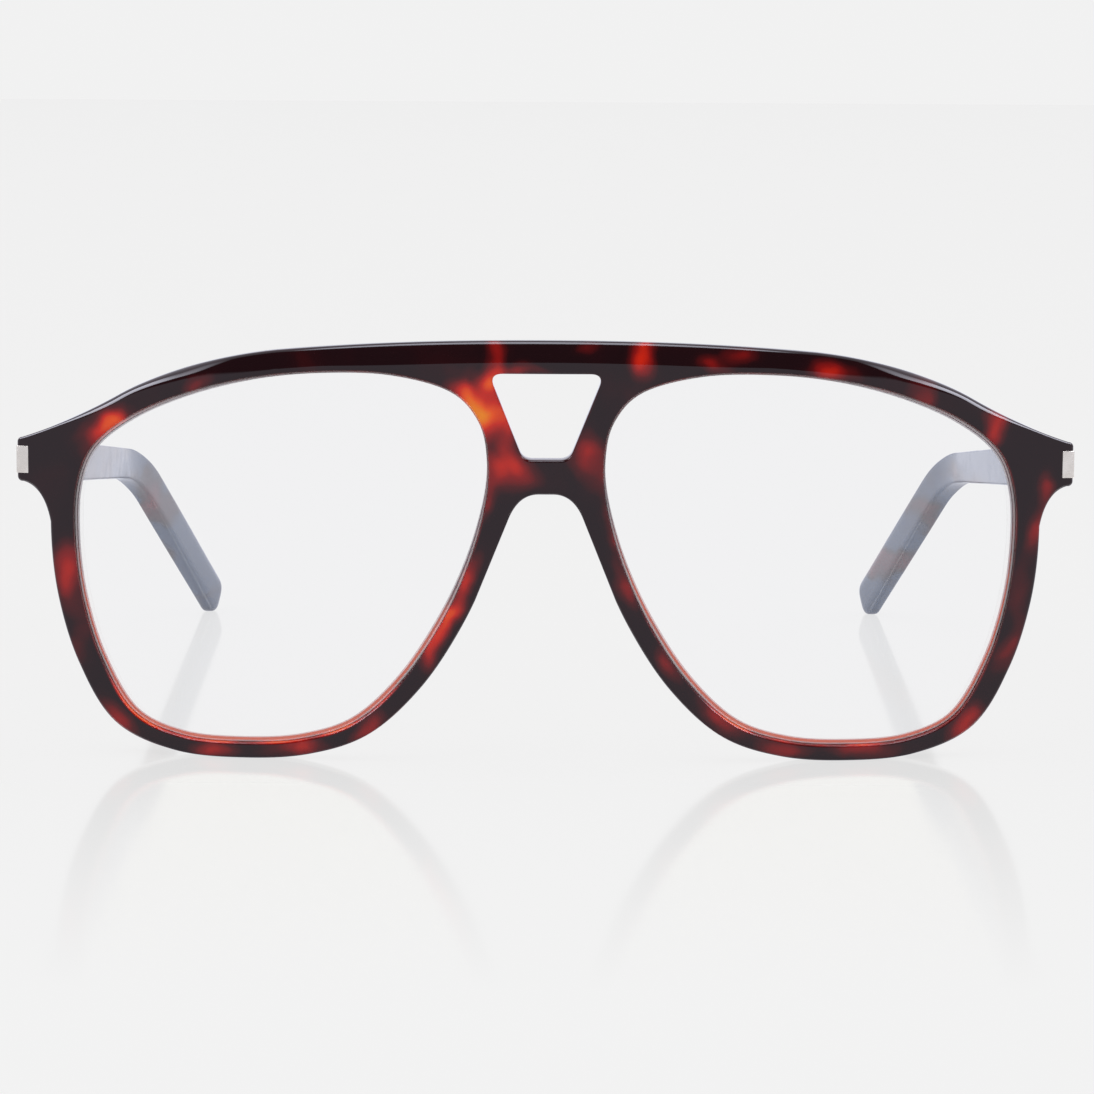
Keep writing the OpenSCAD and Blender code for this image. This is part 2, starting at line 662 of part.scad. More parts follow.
// The wire core, grown by g for its channel
module core_form(g) {
    h = core_h / 2 + g;
    stops = concat([core_start - g], core_stops, [core_stop + g]);
    ys = concat([line_at(core_start)[0] - core_over], turn_stops, [line_at(core_stop)[0] + core_over]);
    intersection() {
        side_block(concat(
            [for (s = stops) off_line(s, h)],
            [for (k = [len(stops) - 1:-1:0]) off_line(stops[k], -h)]), 0, end_x);
        linear_extrude(brow_z) polygon(plan_edge(core_share + 2 * g / temple_t, ys));
    }
}
module temple(side) color(acetate) placed(side) difference() {
    intersection() {
        side_block(temple_edge, 0, end_x + over);
        linear_extrude(brow_z) polygon(plan_edge(1, concat([butt_y], turn_stops, [depth_y + over])));
    }
    temple_leaf_form(set_gap);
    box([temple_in_x - 2 * over, butt_y - over, leaf_z - leaf_h / 2 - set_gap],
        [temple_in_x + over, butt_y + temple_leaf + set_gap, leaf_z + leaf_h / 2 + set_gap]);
    leaf_screws_form(set_gap);
    core_form(set_gap);
}
module temple_core(side) color(steel) placed(side) core_form(0);

front();
lens(-1);  // lens_left
lens(1);  // lens_right
nose_pad(-1);  // nose_pad_left
nose_pad(1);  // nose_pad_right
corner_plaque(-1);  // corner_plaque_left
corner_plaque(1);  // corner_plaque_right
front_hinge(-1);  // front_hinge_left
front_hinge(1);  // front_hinge_right
temple_hinge(-1);  // temple_hinge_left
temple_hinge(1);  // temple_hinge_right
hinge_screw(-1);  // hinge_screw_left
hinge_screw(1);  // hinge_screw_right
hinge_washers(-1);  // hinge_washers_left
hinge_washers(1);  // hinge_washers_right
leaf_screws(-1);  // leaf_screws_left
leaf_screws(1);  // leaf_screws_right
temple(-1);  // temple_left
temple(1);  // temple_right
temple_core(-1);  // temple_core_left
temple_core(1);  // temple_core_right
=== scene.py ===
"""Aviator eyeglasses with a keyhole bridge: polished tortoiseshell acetate, coated lenses, clear nose pads,
brushed corner plaques and hinges, and bent temples, on a pale studio floor."""

import logging
import math
from dataclasses import dataclass
from enum import Enum
from typing import Any, Callable, ClassVar

import bmesh
import bpy
import numpy as np
from mathutils import Matrix, Vector
from mathutils.geometry import delaunay_2d_cdt

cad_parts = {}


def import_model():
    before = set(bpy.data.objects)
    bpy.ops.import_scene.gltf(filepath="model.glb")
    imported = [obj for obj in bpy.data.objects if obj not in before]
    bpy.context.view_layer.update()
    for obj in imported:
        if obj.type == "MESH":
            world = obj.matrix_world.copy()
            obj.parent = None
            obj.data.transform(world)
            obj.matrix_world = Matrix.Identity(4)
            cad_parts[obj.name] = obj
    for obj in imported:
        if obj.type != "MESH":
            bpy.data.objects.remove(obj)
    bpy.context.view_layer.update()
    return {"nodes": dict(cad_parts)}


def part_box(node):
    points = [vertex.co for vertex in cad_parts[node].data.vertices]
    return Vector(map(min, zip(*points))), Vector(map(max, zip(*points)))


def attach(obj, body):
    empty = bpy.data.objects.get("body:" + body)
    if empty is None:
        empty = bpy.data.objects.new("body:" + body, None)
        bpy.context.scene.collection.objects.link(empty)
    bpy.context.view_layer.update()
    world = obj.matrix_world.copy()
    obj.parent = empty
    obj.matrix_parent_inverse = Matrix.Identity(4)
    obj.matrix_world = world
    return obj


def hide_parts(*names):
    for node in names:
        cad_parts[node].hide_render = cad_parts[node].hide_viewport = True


MM = 0.001
WALL_GLOW_LAYER = "edge"
NOISE_MIDDLE = (0.3, 0.7)
FORM_STEPS = 12
METAL_SHARP = 35
PLAQUE_EDGE = 0.12
LOG = logging.getLogger("eyeglasses")

Colour = tuple[float, float, float]
Material = bpy.types.Material
Node = bpy.types.Node
Piece = bpy.types.Object
Socket = bpy.types.NodeSocket
Surface = Callable[[float, float], float]


class Side(Enum):
    """The side of the glasses as the photograph shows them."""

    LEFT = -1
    RIGHT = 1

    @property
    def tag(self) -> str:
        """The side's name as the nodes and bodies end in it."""
        return self.name.lower()

    def place(self, face_y: float, x: float, y: float, z: float) -> Vector:
        """A place of this side's drawing, in millimetres, as a point of the row frame."""
        return Vector((self.value * x * MM, face_y + y * MM, z * MM))


class Number:
    """A number worked out in a node tree, so that sums on it read as sums."""

    def __init__(self, nodes: "Nodes", socket: Socket) -> None:
        """Stands for this socket."""
        self.nodes, self.socket = nodes, socket

    def __add__(self, other: Any) -> "Number":
        """This number and another together."""
        return self.nodes.math("ADD", self, other)

    def __sub__(self, other: Any) -> "Number":
        """This number less another."""
        return self.nodes.math("SUBTRACT", self, other)

    def __rsub__(self, other: float) -> "Number":
        """A plain number less this one."""
        return self.nodes.math("SUBTRACT", other, self)

    def __mul__(self, other: Any) -> "Number":
        """This number times another."""
        return self.nodes.math("MULTIPLY", self, other)

    def __truediv__(self, other: Any) -> "Number":
        """This number divided by another."""
        return self.nodes.math("DIVIDE", self, other)


class Nodes:
    """Puts nodes and links into one node tree."""

    def __init__(self, tree: bpy.types.NodeTree) -> None:
        """Works on this tree."""
        self.tree = tree

    def put(self, kind: str, inputs: dict[Any, Any] | None = None, **settings: Any) -> Node:
        """Adds a node.

        Args:
            kind: The node's type name.
            inputs: What feeds its inputs, by name or number.
            settings: The node's own settings.

        Returns:
            The node.
        """
        node = self.tree.nodes.new(kind)
        for key, value in settings.items():
            setattr(node, key, value)
        for key, value in (inputs or {}).items():
            self.feed(node.inputs[key], value)
        return node

    def feed(self, socket: Socket, value: Any) -> None:
        """Gives an input a value, or links a number, a socket or a node's first output to it.

        Args:
            socket: The input.
            value: What feeds it.
        """
        if isinstance(value, Number):
            value = value.socket
        elif isinstance(value, Node):
            value = value.outputs[0]
        if isinstance(value, Socket):
            self.tree.links.new(value, socket)
        else:
            socket.default_value = value

    def math(self, operation: str, *values: Any, clamp: bool = False) -> Number:
        """Works out a sum on numbers.

        Args:
            operation: The sum's name, as the Math node has it.
            values: Its numbers, in order.
            clamp: Whether the result stays between 0 and 1.

        Returns:
            The result.
        """
        node = self.put("ShaderNodeMath", dict(enumerate(values)), operation=operation, use_clamp=clamp)
        return Number(self, node.outputs[0])

    def vector(self, operation: str, *values: Any) -> Socket:
        """Works out a sum on vectors.

        Args:
            operation: The sum's name, as the Vector Math node has it.
            values: Its vectors, in order. The second one of SCALE is a number.

        Returns:
            The result's socket.
        """
        keys = [0, "Scale"] if operation == "SCALE" else range(len(values))
        node = self.put("ShaderNodeVectorMath", dict(zip(keys, values)), operation=operation)
        return node.outputs["Value" if operation == "LENGTH" else "Vector"]

    def parts(self, vector: Any) -> list[Number]:
        """A vector's X, Y and Z."""
        return [Number(self, part) for part in self.put("ShaderNodeSeparateXYZ", {0: vector}).outputs]

    def joined(self, x: Any = 0.0, y: Any = 0.0, z: Any = 0.0) -> Socket:
        """The vector of three numbers."""
        return self.put("ShaderNodeCombineXYZ", {0: x, 1: y, 2: z}).outputs[0]

    def spread(self, value: Any, lows: tuple[Any, Any], highs: tuple[Any, Any],
               smooth: bool = True) -> Number:
        """Maps one range of numbers to another.

        Args:
            value: The number to map.
            lows: The range that it comes in, from and to.
            highs: The range that it goes out in, from and to.
            smooth: Whether it eases in and out.

        Returns:
            The result.
        """
        inputs = {"Value": value, "From Min": lows[0], "From Max": lows[1],
                  "To Min": highs[0], "To Max": highs[1]}
        kind = "SMOOTHSTEP" if smooth else "LINEAR"
        return Number(self, self.put("ShaderNodeMapRange", inputs, interpolation_type=kind).outputs["Result"])

    def rise(self, value: Any, span: tuple[float, float]) -> Number:
        """A number that eases from 0 to 1 over a span of another."""
        return self.spread(value, span, (0.0, 1.0))

    def fall(self, value: Any, span: tuple[float, float]) -> Number:
        """A number that eases from 1 to 0 over a span of another."""
        return self.spread(value, span, (1.0, 0.0))

    def noise(self, place: Any, scale: float, detail: float) -> Node:
        """A noise texture with this many turns a millimetre."""
        return self.put("ShaderNodeTexNoise", {"Vector": place, "Scale": scale, "Detail": detail})

    def cloudy(self, place: Any, scale: float, detail: float, highs: tuple[float, float],
               lows: tuple[float, float] = NOISE_MIDDLE) -> Number:
        """A number that wanders over a surface.

        Args:
            place: The place on the surface, in millimetres.
            scale: The noise's turns a millimetre.
            detail: The noise's layers of finer detail.
            highs: The range that the number goes out in.
            lows: The part of the noise's own range that is mapped to it.

        Returns:
            The number.
        """
        return self.spread(self.noise(place, scale, detail), lows, highs)

    def blend(self, share: Any, first: Colour, second: Colour) -> Socket:
        """A colour that goes from the first to the second as share goes from 0 to 1."""
        inputs = {0: share, 6: (*first, 1), 7: (*second, 1)}
        return self.put("ShaderNodeMix", inputs, data_type="RGBA").outputs[2]

    def ramp(self, value: Any, stops: tuple[tuple[float, Colour], ...]) -> Node:
        """Turns a number into a colour.

        Args:
            value: The number.
            stops: Places between 0 and 1, each with its colour.

        Returns:
            The node, whose first output is the colour.
        """
        node = self.put("ShaderNodeValToRGB", {"Fac": value})
        band = node.color_ramp.elements
        while len(band) < len(stops):
            band.new(0.5)
        for element, (at, colour) in zip(band, stops):
            element.position = at
            element.color = (*colour, 1)
        return node

    def ray(self, kind: str) -> Number:
        """1 for a ray of a kind, such as Camera, and 0 for any other."""
        return Number(self, self.put("ShaderNodeLightPath").outputs[f"Is {kind} Ray"])


def node_material(name: str, shader: Callable[[Nodes, Socket], Node]) -> Material:
    """Makes a material whose patterns are sized in millimetres.

    Args:
        name: The material's name.
        shader: A method that gives the shader from the nodes and the surface's place in the row frame.

    Returns:
        The material.
    """
    material = bpy.data.materials.new(name)
    material.use_nodes = True
    material.node_tree.nodes.clear()
    nodes = Nodes(material.node_tree)
    place = nodes.vector("SCALE", nodes.put("ShaderNodeTexCoord").outputs["Object"], 1 / MM)
    nodes.put("ShaderNodeOutputMaterial", {"Surface": shader(nodes, place)})
    return material


@dataclass(frozen=True)
class Finish:
    """A finish, whose shader says how it looks."""

    name: str

    def shader(self, nodes: Nodes, place: Socket) -> Node:
        """The finish's shader, from the material's nodes and the surface's place in millimetres."""
        raise NotImplementedError

    def make(self) -> Material:
        """Makes the material."""
        return node_material(self.name, self.shader)


@dataclass(frozen=True)
class Fleck:
    """One amber or red fleck in the acetate, as it lies in the sheet seen from the front, in millimetres."""

    x: float
    z: float
    length: float
    width: float
    turn: float
    heat: float


@dataclass(frozen=True)
class TortoiseAcetate(Finish):
    """Polished near-black acetate with translucent amber and red flecks that run through the sheet.

    The mottle is the strength of the soft clouds between the flecks, and wander is how far, in millimetres,
    noise moves the flecks' outlines. The wall fields paint a glow of light shining through the translucent
    acetate onto the walls that the vertex layer marks, warmer towards the bottom and darker higher up, where
    they are in shade.
    """

    flecks: tuple[Fleck, ...] = ()
    ground: Colour = (0.014, 0.0045, 0.006)
    mottle: float = 0.16
    wander: float = 1.2
    gloss: float = 0.05
    ior: float = 1.4
    fleck_fade: float = 1.5
    wall_span: tuple[float, float] = (6.0, 14.0)
    wall_warmth: tuple[float, float] = (0.8, 0.35)
    wall_join: float = 0.08

    def fleck_group(self) -> bpy.types.NodeTree:
        """Makes the node group that gives one fleck's warmth at a place."""
        group = bpy.data.node_groups.new(f"fleck of {self.name}", "ShaderNodeTree")
        for name, kind in (("Place", "Vector"), ("Middle", "Vector"), ("Turn", "Float"), ("Reach", "Vector"),
                           ("Heat", "Float")):
            group.interface.new_socket(name, in_out="INPUT", socket_type=f"NodeSocket{kind}")
        group.interface.new_socket("Warmth", in_out="OUTPUT", socket_type="NodeSocketFloat")
        nodes = Nodes(group)
        given = nodes.put("NodeGroupInput").outputs
        off = nodes.vector("SUBTRACT", given["Place"], given["Middle"])
        turn = {"Vector": off, "Angle": given["Turn"]}
        turned = nodes.put("ShaderNodeVectorRotate", turn, rotation_type="Y_AXIS")
        far = nodes.vector("LENGTH", nodes.vector("MULTIPLY", turned, given["Reach"]))
        warmth = nodes.spread(far, (0.0, self.fleck_fade), (given["Heat"], 0.0))
        nodes.put("NodeGroupOutput", {"Warmth": warmth})
        return group

    def warmth(self, nodes: Nodes, place: Socket) -> Number:
        """How warm the acetate's colour is, from 0 for the dark ground to 1 for bright amber.

        Args:
            nodes: The material's nodes.
            place: The surface's place, in millimetres.

        Returns:
            The warmth, with the painted glow of the walls in it.
        """
        shifts = []
        for scale, reach in ((0.14, 3 * self.wander), (0.45, self.wander / 2)):
            noise = nodes.noise(place, scale, detail=1).outputs["Color"]
            shifts.append(nodes.vector("SCALE", nodes.vector("SUBTRACT", noise, (0.5, 0.5, 0.5)), reach))
        sheet = nodes.vector("MULTIPLY", nodes.vector("ADD", place, nodes.vector("ADD", *shifts)), (1, 0, 1))
        total = nodes.cloudy(sheet, 0.11, 1.5, (0.0, self.mottle), (0.42, 0.75))
        group = self.fleck_group() if self.flecks else None
        for fleck in self.flecks:
            values = {"Place": sheet, "Middle": (fleck.x, 0, fleck.z), "Turn": math.radians(fleck.turn),
                      "Reach": (1 / fleck.length, 0, 1 / fleck.width), "Heat": fleck.heat}
            total += (1.0 - total) * nodes.put("ShaderNodeGroup", values, node_tree=group)
        inner = total * nodes.cloudy(sheet, 0.22, 1, (0.85, 1.08))
        # Painted light: a glow of light shining through the acetate on the walls that the vertex layer marks,
        # warmer towards the bottom and darker above, where the walls are in shade
        edge = nodes.put("ShaderNodeAttribute", attribute_name=WALL_GLOW_LAYER).outputs["Fac"]
        low = nodes.spread(nodes.parts(place)[2], self.wall_span, self.wall_warmth)
        wall = low * edge * nodes.cloudy(sheet, 0.13, 1, (0.55, 1.05), (0.35, 0.62))
        return nodes.math("SMOOTH_MAX", inner, wall, self.wall_join)

    def shader(self, nodes: Nodes, place: Socket) -> Node:
        """The acetate's shader.

        Args:
            nodes: The material's nodes.
            place: The surface's place, in millimetres.

        Returns:
            The shader.
        """
        colour = nodes.ramp(self.warmth(nodes, place), (
            (0.0, self.ground), (0.12, (0.022, 0.0045, 0.006)), (0.3, (0.09, 0.006, 0.007)),
            (0.48, (0.29, 0.009, 0.008)), (0.66, (0.68, 0.022, 0.008)), (0.82, (0.95, 0.1, 0.01)),
            (1.0, (1.0, 0.27, 0.01))))
        shine = nodes.cloudy(place, 0.4, 2, (self.gloss * 0.8, self.gloss * 1.3))
        inputs = {"Base Color": colour, "Roughness": shine, "IOR": self.ior}
        return nodes.put("ShaderNodeBsdfPrincipled", inputs)


@dataclass(frozen=True)
class ClearPlastic(Finish):
    """A clear plastic, of a coated lens or a bonded nose pad. The lamps' light passes straight through it."""

    tint: Colour
    sheen: Colour
    roughness: float
    grain: float
    ior: float

    def shader(self, nodes: Nodes, place: Socket) -> Node:
        """The plastic's shader.

        Args:
            nodes: The material's nodes.
            place: The surface's place, in millimetres.

        Returns:
            The shader.
        """
        rough = nodes.cloudy(place, 0.35, 2, (self.roughness, self.roughness + self.grain))
        glass = nodes.put("ShaderNodeBsdfPrincipled", {
            "Base Color": (*self.tint, 1), "Transmission Weight": 1.0, "Roughness": rough, "IOR": self.ior,
            "Specular Tint": (*self.sheen, 1)})
        through = nodes.put("ShaderNodeBsdfTransparent", {"Color": (*self.tint, 1)})
        lamp = nodes.math("MAXIMUM", nodes.ray("Shadow"), nodes.ray("Diffuse"))
        return nodes.put("ShaderNodeMixShader", {0: lamp, 1: glass, 2: through})


@dataclass(frozen=True)
class LensEdge(Finish):
    """The ground edge of a lens. A frosted white edge doubles as a painted highlight line, and a red one paints
    the glow and shade of the acetate wall round it: upper at the brow, lower below it.
    """

    upper: Colour
    lower: Colour
    change: tuple[float, float] = (18.0, 31.0)
    wave: float = 5.0

    def shader(self, nodes: Nodes, place: Socket) -> Node:
        """The edge's shader.

        Args:
            nodes: The material's nodes.
            place: The surface's place, in millimetres.

        Returns:
            The shader.
        """
        height = nodes.parts(place)[2] + nodes.cloudy(place, 0.12, 2, (-self.wave, self.wave))
        colour = nodes.blend(nodes.fall(height, self.change), self.upper, self.lower)
        rough = nodes.cloudy(place, 2.0, 2, (0.3, 0.45))
        return nodes.put("ShaderNodeBsdfPrincipled", {"Base Color": colour, "Roughness": rough, "IOR": 1.5})


@dataclass(frozen=True)
class BrushedMetal(Finish):
    """A metal with fine brush marks along one direction and slightly worn, brighter places."""

    colour: Colour
    worn: Colour
    roughness: float
    along: tuple[float, float, float]

    def shader(self, nodes: Nodes, place: Socket) -> Node:
        """The metal's shader.

        Args:
            nodes: The material's nodes.
            place: The surface's place, in millimetres.

        Returns:
            The shader.
        """
        marks = nodes.noise(nodes.vector("MULTIPLY", place, self.along), 1.0, 4)
        colour = nodes.blend(nodes.cloudy(place, 0.5, 3, (0, 1), (0.35, 0.7)), self.colour, self.worn)
        rough = nodes.spread(marks, NOISE_MIDDLE, (self.roughness * 0.75, self.roughness * 1.3))
        bump = nodes.put("ShaderNodeBump", {"Strength": 0.25, "Distance": 0.01 * MM, "Height": marks})
        return nodes.put("ShaderNodeBsdfPrincipled", {
            "Base Color": colour, "Metallic": 1.0, "Roughness": rough, "Normal": bump})


@dataclass(frozen=True)
class Nylon(Finish):
    """Natural nylon, slightly cloudy and softly worn."""

    def shader(self, nodes: Nodes, place: Socket) -> Node:
        """The nylon's shader.

        Args:
            nodes: The material's nodes.
            place: The surface's place, in millimetres.

        Returns:
            The shader.
        """
        cloud = nodes.noise(place, 1.2, 3)
        colour = nodes.ramp(cloud, ((0.0, (0.68, 0.66, 0.6)), (1.0, (0.78, 0.76, 0.71))))
        return nodes.put("ShaderNodeBsdfPrincipled", {
            "Base Color": colour, "Roughness": nodes.spread(cloud, NOISE_MIDDLE, (0.4, 0.6)),
            "Subsurface Weight": 0.2, "Subsurface Scale": 0.5 * MM})


def inside(loops: list[np.ndarray], spots: np.ndarray) -> np.ndarray:
    """Which spots lie inside the first loop and outside the others.

    Args:
        loops: Closed loops, the others within the first, each with one corner a row.
        spots: The spots to test, one a row.

    Returns:
        True for each spot that does.
    """
    x, z = spots[:, 0], spots[:, 1]
    hit = np.zeros(len(spots), bool)
    for loop in loops:
        for (x0, z0), (x1, z1) in zip(loop, np.roll(loop, -1, 0)):
            if z0 != z1:
                hit ^= ((z0 > z) != (z1 > z)) & (x < (x1 - x0) * (z - z0) / (z1 - z0) + x0)
    return hit


def ways_out(loop: list[Vector]) -> list[Vector]:
    """The outward unit vectors of a closed clockwise loop.

    Args:
        loop: The loop.

    Returns:
        A vector for each of its points.
    """
    count = len(loop)
    steps = [loop[(k + 1) % count] - loop[k - 1] for k in range(count)]
    return [Vector((-d.y, d.x)).normalized() for d in steps]


def dense(points: list[Vector], gap: float) -> list[Vector]:
    """Adds points to a closed loop.

    Args:
        points: The loop.
        gap: The most that two neighbours are apart afterwards.

    Returns:
        The fuller loop.
    """
    made = []
    for a, b in zip(points, points[1:] + points[:1]):
        pieces = max(1, math.ceil((b - a).length / gap))
        made += [a.lerp(b, k / pieces) for k in range(pieces)]
    return made


def shares(count: int) -> list[float]:
    """The shares from 0 to 1 in this many steps."""
    return [k / count for k in range(count + 1)]


def bow(a: Vector, b: Vector, c: Vector, count: int) -> list[Vector]:
    """A curve from a to c that leans on b, in this many steps."""
    return [a * (1 - f) ** 2 + b * 2 * f * (1 - f) + c * f * f for f in shares(count)]


def straight(a: tuple[float, float], b: tuple[float, float], count: int) -> list[Vector]:
    """A straight line from a to b, in this many steps."""
    return [Vector((a[0] + (b[0] - a[0]) * f, a[1] + (b[1] - a[1]) * f)) for f in shares(count)]


def flat(row: list[Vector]) -> list[Vector]:
    """A row of points as the front view shows them."""
    return [Vector((p.x, p.z)) for p in row]


def mirrored(loop: list[Vector]) -> list[Vector]:
    """A clockwise loop's mirror image on the other side, clockwise too."""
    return [Vector((-p.x, p.y)) for p in reversed(loop)]


def pushed(loop: list[Vector], ways: list[Vector], reach: float | list[float],
           surface: Surface) -> list[Vector]:
    """Pushes a loop outwards and lays it on a surface.

    Args:
        loop: The loop, in the front view.
        ways: The way out at each point.
        reach: How far the points move, for all or for each.
        surface: The surface's Y at an X and Z.

    Returns:
        The points.
    """
    reaches = reach if isinstance(reach, list) else [reach] * len(loop)
    spots = [p + n * r for p, n, r in zip(loop, ways, reaches)]
    return [Vector((s.x, surface(s.x, s.y), s.y)) for s in spots]


def ease(value: float, start: float, stop: float) -> float:
    """Rises smoothly from 0 at start to 1 at stop."""
    f = min(1.0, max(0.0, (value - start) / (stop - start)))
    return f * f * (3 - 2 * f)


def round_edge(radius: float, steps: int = 5) -> list[tuple[float, float]]:
    """The profile of a rounded edge from the flat face to the wall.

    Args:
        radius: The rounding's radius.
        steps: The number of flats in it.

    Returns:
        Pairs of a distance in from the wall and a depth below the face.
    """
    turns = [math.pi / 2 * k / steps for k in range(steps + 1)]
    return [(radius * (1 - math.sin(a)), radius * (1 - math.cos(a))) for a in turns]


class Shell:
    """Collects a closed surface in patches, in millimetres of the drawing, and makes one piece of it."""

    NET_RISE = 0.87
    NET_CLEAR = 0.6
    CDT_REACH = 1e-6
    MERGE = 0.003 * MM

    def __init__(self, face_y: float, side: Side = Side.RIGHT) -> None:
        """Starts an empty shell.

        Args:
            face_y: The row frame's Y where the drawing has its Y zero.
            side: The side that the drawing is made for.
        """
        self.face_y, self.side = face_y, side
        self.points: list[tuple[float, float, float]] = []
        self.faces: list[tuple[tuple[int, ...], int]] = []
        self.edges: dict[int, float] = {}

    def rows(self, rows: list[list[Vector]], closed: bool = True, finish: list[int] | None = None,
             edge: list[float] | None = None) -> None:
        """Joins rows of as many points each with four-sided faces.

        Args:
            rows: The rows, each as long as the first.
            closed: Whether each row closes on itself.
            finish: The material slot of each strip between two rows, if it isn't the first one.
            edge: How strongly each row shows the painted glow of light through the acetate's walls, if any does.
        """
        start, count = len(self.points), len(rows[0])
        self.points += [tuple(p) for row in rows for p in row]
        for r in range(len(rows) - 1):
            for k in range(count if closed else count - 1):
                a, b = start + r * count + k, start + r * count + (k + 1) % count
                self.faces.append(((a, b, b + count, a + count), finish[r] if finish else 0))
        for r, value in enumerate(edge or []):
            self.edges.update((start + r * count + k, value) for k in range(count))

    def cap(self, loop: list[Vector]) -> None:
        """Closes a loop with one flat face.

        Args:
            loop: The loop.
        """
        start = len(self.points)
        self.points += [tuple(p) for p in loop]
        self.faces.append((tuple(range(start, start + len(loop))), 0))

    def fill(self, loops: list[list[Vector]], lines: list[list[Vector]], spacing: float,
             height: Surface) -> None:
        """Fills the area inside the first loop and outside the others with a net of small triangles.

        Args:
            loops: Closed loops in the front view.
            lines: Open lines that the net's edges follow.
            spacing: The net's spacing.
            height: A function that gives a point's Y from its X and Z.
        """
        corners, edges = [], []
        for run, opened in [(loop, 0) for loop in loops] + [(line, 1) for line in lines]:
            start = len(corners)
            corners += run
            edges += [(start + k, start + (k + 1) % len(run)) for k in range(len(run) - opened)]
        drawn = np.array([tuple(p) for p in corners])
        low, high = drawn.min(0), drawn.max(0)
        spots = np.array([(low[0] + (i + 0.5 * (j % 2)) * spacing, low[1] + j * spacing * self.NET_RISE)
                          for j in range(int((high[1] - low[1]) / spacing / self.NET_RISE) + 1)
                          for i in range(int((high[0] - low[0]) / spacing) + 1)])
        outlines = [np.array([tuple(p) for p in loop]) for loop in loops]
        spots = spots[inside(outlines, spots)]
        gaps = np.sqrt(((spots[:, None, :] - drawn[None]) ** 2).sum(2)).min(1)
        corners = corners + [Vector(p) for p in spots[gaps > self.NET_CLEAR * spacing]]
        found = delaunay_2d_cdt(corners, edges, [], 0, self.CDT_REACH)
        places, net = np.array([tuple(p) for p in found[0]]), np.array(found[2])
        start = len(self.points)
        self.points += [(p[0], height(p[0], p[1]), p[1]) for p in places]
        kept = net[inside(outlines, places[net].mean(1))]
        self.faces += [(tuple(int(start + v) for v in triangle), 0) for triangle in kept]

    def piece(self, name: str, materials: list[Material], sharp: float = 24,
              trim: Callable[[bmesh.types.BMesh], None] | None = None) -> Piece:
        """Makes the piece: merges what meets, turns its faces outwards and smooths it up to an angle.

        Args:
            name: The piece's name.
            materials: Its materials, one for each slot.
            sharp: The angle above which an edge stays crisp, in degrees.
            trim: A function that reworks the mesh before it is smoothed, if any.

        Returns:
            The piece.
        """
        mesh = bpy.data.meshes.new(name)
        work = bmesh.new()
        # The vertex layer for the painted glow of light through the acetate's walls
        layer = work.verts.layers.float.new(WALL_GLOW_LAYER)
        for k, point in enumerate(self.points):
            work.verts.new(self.side.place(self.face_y, *point))[layer] = self.edges.get(k, 0.0)
        work.verts.ensure_lookup_table()
        for corners, finish in self.faces:
            work.faces.new([work.verts[k] for k in corners]).material_index = finish
        bmesh.ops.remove_doubles(work, verts=work.verts, dist=self.MERGE)
        bmesh.ops.delete(work, geom=[v for v in work.verts if not v.link_faces], context="VERTS")
        if trim:
            trim(work)
        return finished(name, mesh, work, materials, sharp)


def finished(name: str, mesh: bpy.types.Mesh, work: bmesh.types.BMesh | None, materials: list[Material],
             sharp: float) -> Piece:
    """Makes a piece of a mesh, smoothed up to an angle.

    Args:
        name: The piece's name.
        mesh: Its mesh, in place in the row frame.
        work: The mesh's new form, whose faces are turned outwards here, if it has one.
        materials: Its materials, one for each slot.
        sharp: The angle above which an edge stays crisp, in degrees.

    Returns:
        The piece.
    """
    if work:
        bmesh.ops.recalc_face_normals(work, faces=work.faces)
        work.to_mesh(mesh)
        work.free()
    slots = np.zeros(len(mesh.polygons), dtype=np.int32)
    mesh.polygons.foreach_get("material_index", slots)
    mesh.materials.clear()
    for material in materials:
        mesh.materials.append(material)
    mesh.polygons.foreach_set("material_index", np.minimum(slots, len(materials) - 1))
    mesh.shade_smooth()
    mesh.set_sharp_from_angle(angle=math.radians(sharp))
    return linked(name, mesh)


def linked(name: str, data: Any) -> Piece:
    """Makes an object and puts it in the scene.

    Args:
        name: The object's name.
        data: Its mesh, curve, lamp or camera.

    Returns:
        The object.
    """
    made = bpy.data.objects.new(name, data)
    bpy.context.scene.collection.objects.link(made)
    return made


def settle(piece: Piece, body: str, slot: str, *nodes: str) -> None:
    """Lets a piece ride on a body in place of CAD nodes, and reports it.

    Args:
        piece: The piece.
        body: The body that it rides on.
        slot: The record's material slot that it would take its finish from; not used.
        nodes: The CAD nodes that it stands for.
    """
    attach(piece, body)
    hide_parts(*nodes)
    LOG.info("%s: %d faces on %s, for %s", piece.name, len(piece.data.polygons), body, ", ".join(nodes))


@dataclass(frozen=True)
class Wrap:
    """The cylinder that the front follows round the face, in millimetres."""

    radius: float = 260.0

    def y(self, x: float, depth: float = 0.0) -> float:
        """How far back a surface at this depth in the sheet lies at x."""
        return self.radius - math.sqrt((self.radius - depth) ** 2 - x * x)


